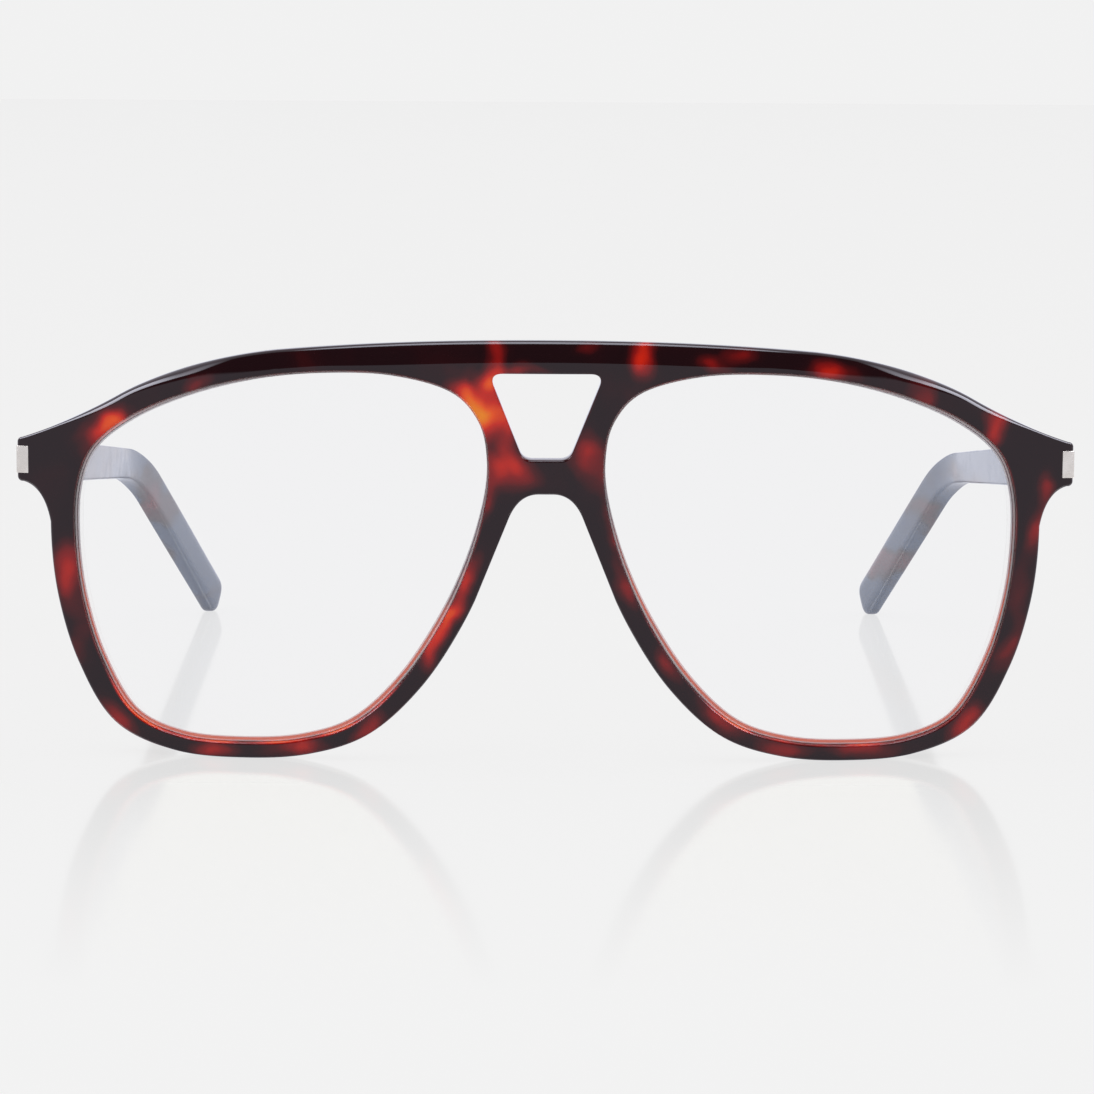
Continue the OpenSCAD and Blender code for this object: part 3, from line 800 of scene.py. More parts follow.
@dataclass(frozen=True)
class LensForm:
    """The right lens opening and the widths of the rim round it, in millimetres."""

    width: float = 57.6
    height: float = 51.9
    bridge: float = 15.9
    rim_top: float = 3.3
    rim_side: float = 3.4
    rim_low: float = 2.15
    rim_nose: float = 2.8
    near: float = 0.05
    points: tuple[tuple[float, float], ...] = (
        (-0.958, 0.742), (-0.819, 0.904), (-0.531, 0.988), (-0.201, 0.996), (0.128, 0.958),
        (0.441, 0.872), (0.719, 0.741), (0.910, 0.572), (0.990, 0.349), (1.000, 0.060),
        (0.965, -0.249), (0.875, -0.568), (0.719, -0.854), (0.476, -0.977), (0.181, -1.000),
        (-0.115, -0.973), (-0.375, -0.869), (-0.604, -0.630), (-0.785, -0.322),
        (-0.910, -0.013), (-0.986, 0.295), (-1.000, 0.534))

    @property
    def middle(self) -> Vector:
        """The middle of the opening."""
        return Vector(((self.bridge + self.width) / 2, self.rim_low + self.height / 2))

    def at(self, t: float) -> Vector:
        """A point of the opening's outline.

        Args:
            t: Its place, counted in points of the form.

        Returns:
            The point.
        """
        i = math.floor(t)
        f = t - i
        a, b, c, d = (Vector(self.points[(i + k) % len(self.points)]) for k in (-1, 0, 1, 2))
        q = b + f * (c - a + f * (2 * a - 5 * b + 4 * c - d + f * (3 * b - a - 3 * c + d))) / 2
        return self.middle + Vector((q.x * self.width / 2, q.y * self.height / 2))

    def out(self, t: float) -> Vector:
        """The way out of the opening at t."""
        d = self.at(t + self.near) - self.at(t - self.near)
        return Vector((-d.y, d.x)).normalized()

    def rim_width(self, way: Vector) -> float:
        """The rim's width on the side that way looks to."""
        side = self.rim_side if way.x > 0 else self.rim_nose
        return Vector((way.x * side, way.y * (self.rim_top if way.y > 0 else self.rim_low))).length

    def rim_at(self, t: float) -> Vector:
        """The point of the rim's outer edge at t."""
        way = self.out(t)
        return self.at(t) + self.rim_width(way) * way

    def ring(self, steps: int = FORM_STEPS) -> list[Vector]:
        """The opening's outline, clockwise, with this many steps between two points of the form."""
        return [self.at(1 + k / steps) for k in range(len(self.points) * steps)]

    def rim_run(self, start: float, stop: float) -> list[Vector]:
        """The rim's outer edge from one place on the form to another."""
        count = round((stop - start) * FORM_STEPS)
        return [self.rim_at(start + (stop - start) * k / count) for k in range(count + 1)]


@dataclass
class Front:
    """The acetate front: brow, two rims, keyhole bridge and end pieces, in millimetres.

    The fields that begin with at_ are places on the lens form where the outline joins the rim, and those
    that end in _steps or _fade are counts of points. The two tables of wall rows say how strongly the rows of
    points down the outer wall and down an opening's wall show the painted glow of light shining through the
    acetate: the first rows, the rows between and the last one. The third table gives the shares of it that the
    two lens openings and the keyhole have.
    """

    OUTER_WARMTH: ClassVar[tuple[float, ...]] = (0, 0, 0.05, 0.15, 0.3, 0.4, 0.1)
    HOLE_WARMTH: ClassVar[tuple[float, ...]] = (0, 0.2, 0.6, 0.9, 1.0, 0.2)
    HOLES: ClassVar[tuple[float, ...]] = (1.0, 1.0, 0.6)

    face_y: float
    form: LensForm = LensForm()
    wrap: Wrap = Wrap()
    width: float = 147.4
    thickness: float = 4.0
    brow_over: float = 4.35
    brow_curve: float = 2.2
    brow_steps: int = 48
    bevel_h: float = 2.9
    bevel_slope: float = 1.64
    bevel_fall: float = 3.0
    bevel_at: float = 50.0
    bevel_power: float = 2.0
    bevel_reach: float = 57.5
    bevel_steps: int = 80
    bevel_clear: float = 0.25
    soft_least: float = 0.12
    soft_more: float = 0.9
    soft_span: tuple[float, float] = (34.0, 52.0)
    lens_top_x: float = 33.0
    lens_top_lift: float = 0.4
    lens_top_w: float = 8.0
    groove_d: float = 0.7
    groove: tuple[float, float] = (1.5, 2.5)
    brow_bar: float = 4.45
    key_h: float = 11.8
    key_top_w: float = 15.8
    key_low_w: float = 6.3
    key_top_r: float = 1.9
    key_low_r: float = 1.3
    key_steps: int = 10
    key_gap: float = 0.8
    low_bar: float = 4.75
    arch_w: float = 7.5
    arch_flat: float = 2.0
    arch_round: float = 3.4
    arch_side_steps: int = 16
    arch_steps: int = 14
    end_h: float = 6.2
    end_z: float = 40.85
    end_l: float = 10.3
    end_lean: float = 0.46
    end_rise: float = 2.4
    end_steps: int = 22
    fillet_start: float = 0.2
    fillet_lean: tuple[float, float] = (0.9, -0.75)
    fillet_steps: int = 14
    at_brow: float = 3.6
    at_end_top: float = 6.0
    at_end_low: float = 8 + 2 / 3
    at_arch: float = 18.5
    drop: float = 6.4
    block_w: float = 7.3
    block_steps: tuple[int, ...] = (5, 5, 8, 5, 5)
    block_r: float = 0.3
    block_near: float = 0.01
    block_turn: float = 0.9
    corner_r: float = 0.7
    corner_steps: int = 8
    bay_depth: float = 1.7
    temple_t: float = 4.0
    bay_gap: float = 0.2
    face_r: float = 0.5
    lens_r: float = 0.45
    shoulder_r: float = 1.5
    shoulder_in: tuple[float, float] = (42.0, 51.0)
    shoulder_out: tuple[float, float] = (69.0, 60.0)
    shoulder_up: tuple[float, float] = (44.5, 46.0)
    back_r: float = 0.6
    back_fade: int = 5
    sink_fade: int = 12
    face_net: float = 1.1
    back_net: float = 1.8

    @property
    def brow_z(self) -> float:
        """The top of the brow at the middle."""
        return self.form.rim_low + self.form.height + self.brow_over

    @property
    def end_x(self) -> float:
        """The front's outer side."""
        return self.width / 2

    @property
    def end_y(self) -> float:
        """The rear of the end pieces, where the hinges' axes lie."""
        return self.wrap.y(self.end_x) + self.end_l

    @property
    def end_span(self) -> tuple[float, float]:
        """The top and the bottom of the end pieces where they leave the sheet."""
        return self.end_z + self.end_h / 2, self.end_z - self.end_h / 2

    def fallen(self, y: float) -> float:
        """How far the end pieces and temples have come down at y on their slope from the front's corner."""
        return (y - self.wrap.y(self.end_x)) * math.tan(math.radians(self.drop))

    def ridge(self, x: float) -> float:
        """The height of the bevel's lower edge, which leaves a flat over the lens openings' tops.

        Args:
            x: The place across the front.

        Returns:
            The height there.
        """
        lift = self.lens_top_lift * math.exp(-((abs(x) - self.lens_top_x) / self.lens_top_w) ** 2)
        fall = self.bevel_fall * (abs(x) / self.bevel_at) ** self.bevel_power
        return self.brow_z - self.bevel_h - fall + lift

    def ridge_soft(self, x: float) -> float:
        """How far above and below the ridge its polished rounding reaches: least in the middle."""
        return self.soft_least + self.soft_more * ease(abs(x), *self.soft_span)

    def face(self, x: float, z: float) -> float:
        """How far back the front's face lies at a point.

        Args:
            x: The point's X.
            z: Its height.

        Returns:
            Its Y.
        """
        above, soft = z - self.ridge(x), self.ridge_soft(x)
        rise = above if above > soft else 0.0 if above < -soft else (above + soft) ** 2 / (4 * soft)
        return self.wrap.y(x) + rise / self.bevel_slope

    def edge_r(self, p: Vector) -> float:
        """The rounding of the face's outer edge, larger on the brow's shoulders.

        Args:
            p: A point of the outline.

        Returns:
            The radius there.
        """
        across = ease(abs(p.x), *self.shoulder_in) * ease(abs(p.x), *self.shoulder_out)
        share = across * ease(p.y, *self.shoulder_up)
        return self.face_r + (self.shoulder_r - self.face_r) * share

    def back(self, x: float, z: float = 0.0) -> float:
        """How far back the sheet's rear face lies at a point, whose height z makes no difference to it."""
        return self.wrap.y(x, self.thickness)

    def outline(self) -> tuple[list[Vector], int, int]:
        """Draws the front's outer edge.

        Returns:
            The closed outline, clockwise from the middle of the brow, and the numbers of the points between
            which the right end piece goes on backwards.
        """
        (top, low), near = self.end_span, 1 / FORM_STEPS
        join, end_join, fillet_join, side = (
            self.form.rim_at(at) for at in (self.at_brow, self.at_end_top, self.at_end_low, self.at_arch))
        half = [Vector((join.x * f, self.brow_z - (self.brow_z - join.y) * f ** self.brow_curve))
                for f in shares(self.brow_steps)[:-1]]
        half += self.form.rim_run(self.at_brow, self.at_end_top - near)
        lean = Vector((end_join.x * (1 - self.end_lean) + self.end_x * self.end_lean, top + self.end_rise))
        half += bow(end_join, lean, Vector((self.end_x - self.corner_r, top)), self.end_steps)
        end_top = len(half) - 1
        for turn_from, z in ((90, top - self.corner_r), (0, low + self.corner_r)):
            turns = [math.radians(turn_from - 90 * f) for f in shares(self.corner_steps)]
            half += [Vector((self.end_x - self.corner_r * (1 - math.cos(a)), z + self.corner_r * math.sin(a)))
                     for a in (turns[1:] if turn_from else turns[:-1])]
        lean = Vector((fillet_join.x + self.fillet_lean[0], low + self.fillet_lean[1]))
        start = Vector((self.end_x - self.corner_r - self.fillet_start, low))
        half += bow(start, lean, fillet_join, self.fillet_steps)
        sunk = low - self.fallen(self.back(self.end_x))
        end_low = next(k for k in range(end_top + 1, len(half)) if half[k].y < sunk)
        half += self.form.rim_run(self.at_end_low + near, self.at_arch - near)
        arch = self.brow_z - self.brow_bar - self.key_h - self.low_bar
        crown = Vector((self.arch_w / 2, arch))
        bend = crown + (side - crown) * self.arch_round / (arch - side.y)
        half += [side + (bend - side) * f for f in shares(self.arch_side_steps)[:-1]]
        half += bow(bend, crown, Vector((self.arch_flat / 2, arch)), self.arch_steps) + [Vector((0, arch))]
        return half + mirrored(half[1:-1]), end_top, end_low

    def keyhole(self) -> list[Vector]:
        """Draws the keyhole's outline, clockwise."""
        top, low = self.brow_z - self.brow_bar, self.brow_z - self.brow_bar - self.key_h
        corners = [(-self.key_top_w / 2, top, self.key_top_r), (self.key_top_w / 2, top, self.key_top_r),
                   (self.key_low_w / 2, low, self.key_low_r), (-self.key_low_w / 2, low, self.key_low_r)]
        spots, made = [Vector((x, z)) for x, z, _ in corners], []
        for k, (_, _, reach) in enumerate(corners):
            p, q, r = spots[k - 1], spots[k], spots[(k + 1) % len(spots)]
            made += bow(q + reach * (p - q).normalized(), q, q + reach * (r - q).normalized(), self.key_steps)
        return dense(made, self.key_gap)

    def hole_rows(self, loop: list[Vector], grooved: bool) -> list[list[Vector]]:
        """The rows of points down the wall of an opening, from the face to the back.

        Args:
            loop: The opening's outline, clockwise.
            grooved: Whether a lens groove runs round the wall.

        Returns:
            The rows, each as long as the loop.
        """
        near, far = self.groove
        walls = [(out, lambda x, z, d=depth: self.face(x, z) + d)
                 for out, depth in round_edge(self.lens_r if grooved else self.face_r)]
        if grooved:
            walls += [(out, lambda x, z, d=depth: self.wrap.y(x, d))
                      for out, depth in ((0, near), (self.groove_d, near), (self.groove_d, far), (0, far))]
        walls += [(out, lambda x, z, d=depth: self.back(x) - d)
                  for out, depth in reversed(round_edge(self.back_r))]
        ways = ways_out(loop)
        return [pushed(loop, ways, out, surface) for out, surface in walls]

    def outer_rows(self, loop: list[Vector], fixed: set[int]) -> list[list[Vector]]:
        """The rows of points down the outer wall, from the face to the sheet's back.

        Args:
            loop: The front's outline, clockwise.
            fixed: The points where an end piece goes on backwards, so that no rear edge is rounded there.

        Returns:
            The rows, each as long as the loop.
        """
        ways, count = ways_out(loop), len(loop)
        away = [min(min((k - f) % count, (f - k) % count) for f in fixed) for k in range(count)]
        rears = [self.back_r * min(1.0, steps / self.back_fade) ** 2 for steps in away]
        sinks = [1 - ease(steps, 0, self.sink_fade) for steps in away]
        fronts = [self.edge_r(p) for p in loop]
        rows = []
        for inset, depth in round_edge(1.0, 7):
            spots = [p - n * inset * r for p, n, r in zip(loop, ways, fronts)]
            rows.append([Vector((s.x, self.face(s.x, s.y) + depth * r, s.y)) for s, r in zip(spots, fronts)])
        for inset, depth in reversed(round_edge(1.0)):
            spots = [p - n * inset * r for p, n, r in zip(loop, ways, rears)]
            deep = [self.back(s.x) - depth * r for s, r in zip(spots, rears)]
            rows.append([Vector((s.x, y, s.y - sink * self.fallen(y)))
                         for s, y, sink in zip(spots, deep, sinks)])
        return rows

    def sloped(self, p: Vector, y: float) -> Vector:
        """A point of the front view on the end piece's slope at y."""
        return Vector((p.x, y, p.y - self.fallen(y)))

    def end_block(self, shell: Shell, flip: int, arc: list[Vector]) -> list[Vector]:
        """Adds an end piece's block behind the sheet, with the bay that its hinge stands in.

        Args:
            shell: The shell that the block is added to.
            flip: 1 for the right block and -1 for the left one.
            arc: The stretch of the front's outline that the block's outer side follows.

        Returns:
            The block's inner edge on the sheet's back, from the bottom of the arc round to its top.
        """
        (top, low), bay = self.end_span, self.end_y - self.bay_depth
        inner, step = flip * (self.end_x - self.block_w), flip * (self.end_x - self.temple_t - self.bay_gap)
        outer = arc if flip > 0 else arc[::-1]
        spots = [tuple(outer[-1]), (step, low), (inner, low), (inner, top), (step, top), (outer[0].x, top)]
        lines = [straight(*ends) for ends in zip(spots, spots[1:], self.block_steps)]
        rears = []
        for line, rear in zip([outer] + lines, (self.end_y, self.end_y, bay, bay, bay, self.end_y)):
            rears.append([self.sloped(Vector((p.x, max(p.y, low))), rear) for p in line])
            shell.rows([[self.sloped(p, self.back(p.x)) for p in line], rears[-1]], closed=False)
        outside, out_low, in_low, up, in_top, out_top = rears
        shell.cap(outside[:-1] + out_low + out_top[:-1])
        shell.cap(in_low[:-1] + up[:-1] + in_top)
        wall = ((bay, low), (self.end_y, low), (self.end_y, top), (bay, top))
        shell.cap([self.sloped(Vector((step, z)), y) for y, z in wall])
        edge = [p for line in lines[:-1] for p in line[:-1]] + lines[-1]
        return flat([self.sloped(p, self.back(p.x)) for p in edge])

    def round_blocks(self, work: bmesh.types.BMesh) -> None:
        """Rounds the rear edges of the end pieces' blocks.

        Args:
            work: The front's mesh.
        """
        from_y = self.face_y + (self.end_y - self.bay_depth - self.block_near) * MM
        edges = [e for e in work.edges if all(v.co.y > from_y for v in e.verts)
                 and len(e.link_faces) == 2 and e.calc_face_angle() > self.block_turn]
        bevel(work, edges, self.block_r)

    def ridge_lines(self, loops: list[list[Vector]]) -> list[list[Vector]]:
        """Draws the lines along the middle and both sides of the bevel's softened lower edge.

        Args:
            loops: The outlines of the front's face and its openings, which the lines stop short of.

        Returns:
            The lines.
        """
        corners = np.array([tuple(p) for loop in loops for p in loop])
        lines = []
        for share in (-1.0, 0.0, 1.0):
            lines.append([])
            for k in range(-self.bevel_steps, self.bevel_steps + 1):
                x = self.bevel_reach * k / self.bevel_steps
                spot = Vector((x, self.ridge(x) + share * self.ridge_soft(x)))
                if np.sqrt(((corners - np.array(spot)) ** 2).sum(1)).min() > self.bevel_clear:
                    lines[-1].append(spot)
                else:
                    lines.append([])
        return [line for line in lines if len(line) > 1]

    def build(self, acetate: Material) -> None:
        """Makes the front as one piece.

        Args:
            acetate: Its material.
        """
        shell = Shell(self.face_y)
        outline, a, b = self.outline()
        count = len(outline)
        right, left = list(range(a, b + 1)), list(range(count - b, count - a + 1))
        outer = self.outer_rows(outline, set(right + left))
        # Painted glow of light shining through the acetate, on the outer wall and on the openings' walls
        (*first, main, last), lens = self.OUTER_WARMTH, self.form.ring()
        shell.rows(outer, edge=[*first] + [main] * (len(outer) - len(first) - 1) + [last])
        openings = [self.hole_rows(lens, True), self.hole_rows(mirrored(lens), True),
                    self.hole_rows(self.keyhole(), False)]
        (*first, main, last) = self.HOLE_WARMTH
        for rows, warm in zip(openings, self.HOLES):
            wall_glows = [*first] + [main] * (len(rows) - len(first) - 1) + [last]
            shell.rows(rows, edge=[value * warm for value in wall_glows])
        loops = [flat(outer[0])] + [flat(rows[0]) for rows in openings]
        shell.fill(loops, self.ridge_lines(loops), self.face_net, self.face)
        inner_right = self.end_block(shell, 1, [outline[k] for k in right])
        inner_left = self.end_block(shell, -1, [outline[k] for k in left])
        rear = flat(outer[-1])
        loop = rear[:a] + inner_right[::-1] + rear[b + 1:count - b] + inner_left + rear[count - a + 1:]
        shell.fill([loop] + [flat(rows[-1]) for rows in openings], [], self.back_net, self.back)
        piece = shell.piece("front_acetate", [acetate], trim=self.round_blocks)
        settle(piece, "front", "acetate", "front")


@dataclass
class Lens:
    """A clear lens with a tongue round its edge that sits in the front's groove, in millimetres."""

    face_y: float
    form: LensForm = LensForm()
    wrap: Wrap = Wrap()
    thickness: float = 2.0
    sink: float = 1.0
    fit: float = 0.05
    groove_d: float = 0.7
    groove: tuple[float, float] = (1.5, 2.5)
    chamfer: float = 0.12
    bevel: float = 0.15
    rear_bevel: float = 0.4
    rear_slope: float = 0.24
    land: float = 0.2
    land_step: float = 0.02
    bevel_span: tuple[float, float] = (-0.1, 0.6)
    low_span: tuple[float, float] = (0.5, 1.0)
    low_less: float = 0.35
    steps: int = 8
    net: float = 2.2
    sharp: float = 10.0

    def front_y(self, x: float, z: float = 0.0) -> float:
        """How far back the lens's front face lies at a point, at any height z."""
        return self.wrap.y(x, self.sink)

    def rear_y(self, x: float, z: float = 0.0) -> float:
        """How far back the lens's rear face lies at a point, at any height z."""
        return self.wrap.y(x, self.sink + self.thickness)

    def build(self, side: Side, finishes: list[Material]) -> None:
        """Makes one lens.

        Args:
            side: The side that it sits on.
            finishes: The materials of its faces, of its frosted chamfer and rear land, which double as a painted
                highlight, and of its ground sides, painted with the acetate wall's glow and shade.
        """
        shell = Shell(self.face_y, side)
        loop = self.form.ring(self.steps)
        ways = ways_out(loop)
        rear = self.sink + self.thickness
        near, far = self.groove[0] + self.fit, self.groove[1] - self.fit
        profile = ((-self.chamfer, -self.bevel, self.sink), (0, 0, self.sink + self.chamfer), (0, 0, near),
                   (self.groove_d, 0, near), (self.groove_d, 0, far), (0, 0, far),
                   (0, 0, rear - self.rear_slope), (-self.chamfer, -self.rear_bevel, rear),
                   (-self.chamfer - self.land_step, -self.rear_bevel - self.land, rear))
        wide = [ease(max(n.x, -n.y), *self.bevel_span) * (1 - self.low_less * ease(-n.y, *self.low_span))
                for n in ways]
        rows = []
        for out, more, depth in profile:
            reaches = [out + more * w - self.fit for w in wide]
            rows.append(pushed(loop, ways, reaches, lambda x, z: self.wrap.y(x, depth)))
        # Slot 1 on the chamfer and land is the frosted edge with its painted highlight; slot 2 on the sides
        # paints the wall's glow and shade
        shell.rows(rows, finish=[1, 2, 2, 2, 2, 2, 2, 1])
        shell.fill([flat(rows[0])], [], self.net, self.front_y)
        shell.fill([flat(rows[-1])], [], self.net, self.rear_y)
        piece = shell.piece(f"lens_{side.tag}_clear", finishes, self.sharp)
        settle(piece, "front", "lens", f"lens_{side.tag}")


@dataclass
class NosePad:
    """A clear pad that swells out of the back of the rim beside the nose, in millimetres."""

    face_y: float
    form: LensForm = LensForm()
    wrap: Wrap = Wrap()
    front_t: float = 4.0
    reach: float = 6.5
    width: float = 2.5
    lean: float = 0.14
    start: float = 16.8
    stop: float = 20.0
    end_w: float = 0.35
    end_h: float = 0.05
    swell: float = 0.8
    rings: int = 40
    facets: int = 20
    sharp: float = 40.0

    def ring(self, share: float) -> list[Vector]:
        """Draws the pad's section.

        Args:
            share: Its place, as a share of the pad's length.

        Returns:
            The section's points.
        """
        t = self.start + (self.stop - self.start) * share
        f = self.end_h + (1 - self.end_h) * math.sin(math.pi * share) ** self.swell
        way = self.form.out(t)
        foot = self.form.at(t) + way * self.form.rim_width(way) / 2
        width = self.width * (self.end_w + (1 - self.end_w) * math.sqrt(f))
        made = []
        for k in range(self.facets + 1):
            turn = math.pi * k / self.facets
            across, back = width / 2 * math.cos(turn), self.reach * f * math.sin(turn)
            spot = foot + way * (across - self.lean * back)
            made.append(Vector((spot.x, self.wrap.y(spot.x, self.front_t) + back, spot.y)))
        return made

    def build(self, side: Side, clear: Material) -> None:
        """Makes one pad.

        Args:
            side: The side that it sits on.
            clear: Its material.
        """
        shell = Shell(self.face_y, side)
        rings = [self.ring(f) for f in shares(self.rings)]
        shell.rows(rings)
        shell.cap(rings[0])
        shell.cap(rings[-1])
        piece = shell.piece(f"nose_pad_{side.tag}_clear", [clear], self.sharp)
        settle(piece, "front", "clear_pad", f"nose_pad_{side.tag}")


def bevel(work: bmesh.types.BMesh, edges: list[bmesh.types.BMEdge], width: float) -> None:
    """Rounds edges of a mesh to a width in millimetres."""
    bmesh.ops.bevel(
        work, geom=edges, offset=width * MM, segments=3, profile=0.5, affect="EDGES", clamp_overlap=True)


def eased_copy(node: Piece, name: str, material: Material, edge: float) -> Piece:
    """Copies a metal part's CAD mesh, merges it and breaks its sharp edges.

    Args:
        node: The CAD node's object, which is left as it is.
        name: The new piece's name.
        material: Its material.
        edge: The width of the broken edges, in millimetres.

    Returns:
        The piece.
    """
    mesh = node.data.copy()
    mesh.name = name
    work = bmesh.new()
    work.from_mesh(mesh)
    bmesh.ops.remove_doubles(work, verts=work.verts, dist=0.001 * MM)
    bmesh.ops.dissolve_limit(work, angle_limit=math.radians(1), verts=work.verts, edges=work.edges)
    crisp = math.radians(METAL_SHARP)
    bevel(work, [e for e in work.edges if len(e.link_faces) == 2 and e.calc_face_angle() > crisp], edge)
    bmesh.ops.triangulate(work, faces=[f for f in work.faces if len(f.verts) > 4])
    return finished(name, mesh, work, [material], METAL_SHARP)


class TreeTool(Nodes):
    """A geometry node tree with named inputs, and the means to make a piece with it."""

    def __init__(self, name: str) -> None:
        """Starts an empty tree.

        Args:
            name: The tree's name.
        """
        super().__init__(bpy.data.node_groups.new(name, "GeometryNodeTree"))
        self.tree.interface.new_socket("Geometry", in_out="OUTPUT", socket_type="NodeSocketGeometry")
        self.keys: dict[str, str] = {}
        self.given = self.put("NodeGroupInput")

    def ask(self, kind: str, *names: str) -> list[Number]:
        """Adds named inputs.

        Args:
            kind: Their kind, such as Float.
            names: Their names.

        Returns:
            Their sockets, as numbers.
        """
        for name in names:
            item = self.tree.interface.new_socket(name, in_out="INPUT", socket_type=f"NodeSocket{kind}")
            self.keys[name] = item.identifier
        return [Number(self, self.given.outputs[name]) for name in names]

    def end(self, geometry: Any) -> None:
        """Ends the tree with real geometry and its material, which is an input.

        Args:
            geometry: The geometry.
        """
        inputs = {"Geometry": self.put("GeometryNodeRealizeInstances", {0: geometry}),
                  "Material": self.ask("Material", "Material")[0]}
        self.put("NodeGroupOutput", {"Geometry": self.put("GeometryNodeSetMaterial", inputs)})

    def end_row(self, geometry: Any) -> None:
        """Ends the tree with turned copies of some geometry in a straight row, whose layout is inputs.

        Args:
            geometry: What is copied.
        """
        (count,) = self.ask("Int", "Count")
        start, step, turn = self.ask("Vector", "First place", "Step", "Turn")
        points = self.put("GeometryNodeMeshLine", {"Count": count, "Start Location": start, "Offset": step})
        copies = {"Points": points, "Instance": geometry, "Rotation": turn}
        self.end(self.put("GeometryNodeInstanceOnPoints", copies))

    def grow(self, name: str, sizes: dict[str, Any], material: Material, sharp: float) -> Piece:
        """Makes a plain piece with the tree.

        Args:
            name: The piece's name.
            sizes: A value for each named input but the material.
            material: The piece's material.
            sharp: The angle above which an edge stays crisp, in degrees.

        Returns:
            The piece.
        """
        seed = linked(f"{name}_seed", bpy.data.meshes.new(f"{name}_seed"))
        modifier = seed.modifiers.new("grown", "NODES")
        modifier.node_group = self.tree
        for key, value in {**sizes, "Material": material}.items():
            modifier[self.keys[key]] = value
        bpy.context.view_layer.update()
        graph = bpy.context.evaluated_depsgraph_get()
        mesh = bpy.data.meshes.new_from_object(seed.evaluated_get(graph))
        mesh.name = name
        bpy.data.objects.remove(seed)
        return finished(name, mesh, None, [material], sharp)


class TempleTree(TreeTool):
    """Grows a temple: a rounded bar that follows a middle line and changes its section along it."""

    CAP_ROWS = 5.0
    CROWDING = 0.93
    SETTLE = 8 * MM
    MERGE = 0.002 * MM

    def __init__(self) -> None:
        """Builds the tree."""
        super().__init__("temple bar")
        straight_l, whole, front_h, bend_h, tip_h = self.ask(
            "Float", "Straight length", "Line length", "Front height", "Bend height", "Tip height")
        front_t, tip_t, front_square, tip_square = self.ask(
            "Float", "Front thickness", "Tip thickness", "Front squareness", "Tip squareness")
        butt_edge, tip_edge = self.ask("Float", "Butt edge", "Tip edge")
        (line,), (rows, facets) = self.ask("Object", "Middle line"), self.ask("Int", "Rows", "Facets")
        pocket_size, pocket_at = self.ask("Vector", "Pocket size", "Pocket place")
        grid = self.put("GeometryNodeMeshGrid", {
            "Size X": 1.0, "Size Y": 1.0, "Vertices X": rows, "Vertices Y": facets})
        place = self.parts(self.put("GeometryNodeInputPosition"))
        row, turn = (place[0] + 0.5) * (rows - 1.0), (place[1] + 0.5) * (2 * math.pi)
        end = whole + tip_h / 2.0
        angle = self.share(row - 1.0, self.CAP_ROWS - 1.0) * (math.pi / 2)
        inset = butt_edge * (1.0 - self.math("SINE", angle))
        sunk = butt_edge * (1.0 - self.math("COSINE", angle))
        share = self.share(row - self.CAP_ROWS, rows - 1.0 - self.CAP_ROWS)
        wave = self.math("SINE", share * (2 * math.pi)) * (-self.CROWDING / (2 * math.pi))
        s = sunk + (end - butt_edge) * (share + wave)
        open_row = self.math("GREATER_THAN", row, 0.5)
        fore = self.spread(s, (0.0, straight_l), (front_h, bend_h), smooth=False)
        aft = self.spread(s, (straight_l, whole), (0.0, tip_h - bend_h), smooth=False)
        half_h = (fore + aft) * 0.5 * self.quarter(self.share(s - whole, end - whole)) - inset
        thick = self.spread(s, (0.0, end), (front_t, tip_t), smooth=False) * 0.5
        half_w = thick * self.quarter(self.share(s - (end - tip_edge), tip_edge)) - inset
        power = self.math("DIVIDE", 2.0, self.spread(s, (straight_l, end), (front_square, tip_square)))
        across = self.rounded("COSINE", turn, power) * half_w * open_row
        up = self.rounded("SINE", turn, power) * half_h * open_row
        drawn = self.put("GeometryNodeObjectInfo", {"Object": line}).outputs["Geometry"]
        curve = self.put(
            "GeometryNodeSampleCurve", {"Curves": drawn, "Length": s}, mode="LENGTH", use_all_curves=True)
        way = self.parts(curve.outputs["Tangent"])
        fall = way[2] * self.rise(s, (0.0, self.SETTLE))
        lift = self.vector("SCALE", self.vector("NORMALIZE", self.joined(y=fall * -1.0, z=way[1])), up)
        drift = way[0] / way[1] * self.parts(lift)[1]
        lifted = self.vector("ADD", curve.outputs["Position"], lift)
        spot = self.vector("ADD", lifted, self.joined(x=across + drift))
        bar = self.put("GeometryNodeSetPosition", {"Geometry": grid, "Position": spot})
        closed = self.put("GeometryNodeMergeByDistance", {"Geometry": bar, "Distance": self.MERGE})
        box = self.put("GeometryNodeMeshCube", {"Size": pocket_size})
        placed = self.put("GeometryNodeTransform", {"Geometry": box, "Translation": pocket_at})
        cut = {"Mesh 1": closed, "Mesh 2": placed}
        self.end(self.put("GeometryNodeMeshBoolean", cut, operation="DIFFERENCE"))

    def share(self, part: Number, whole: Any) -> Number:
        """A part's share of a whole, kept between 0 and 1."""
        return self.math("DIVIDE", part, whole, clamp=True)

    def quarter(self, share: Number) -> Number:
        """The fall of a quarter circle: 1 at share 0 and 0 at share 1."""
        return self.math("SQRT", self.math("SUBTRACT", 1.0, share * share, clamp=True))

    def rounded(self, wave: str, turn: Number, power: Number) -> Number:
        """A sine or cosine raised to a power with its sign kept, which squares a round section."""
        value = self.math(wave, turn)
        return self.math("SIGN", value) * self.math("POWER", self.math("ABSOLUTE", value), power)


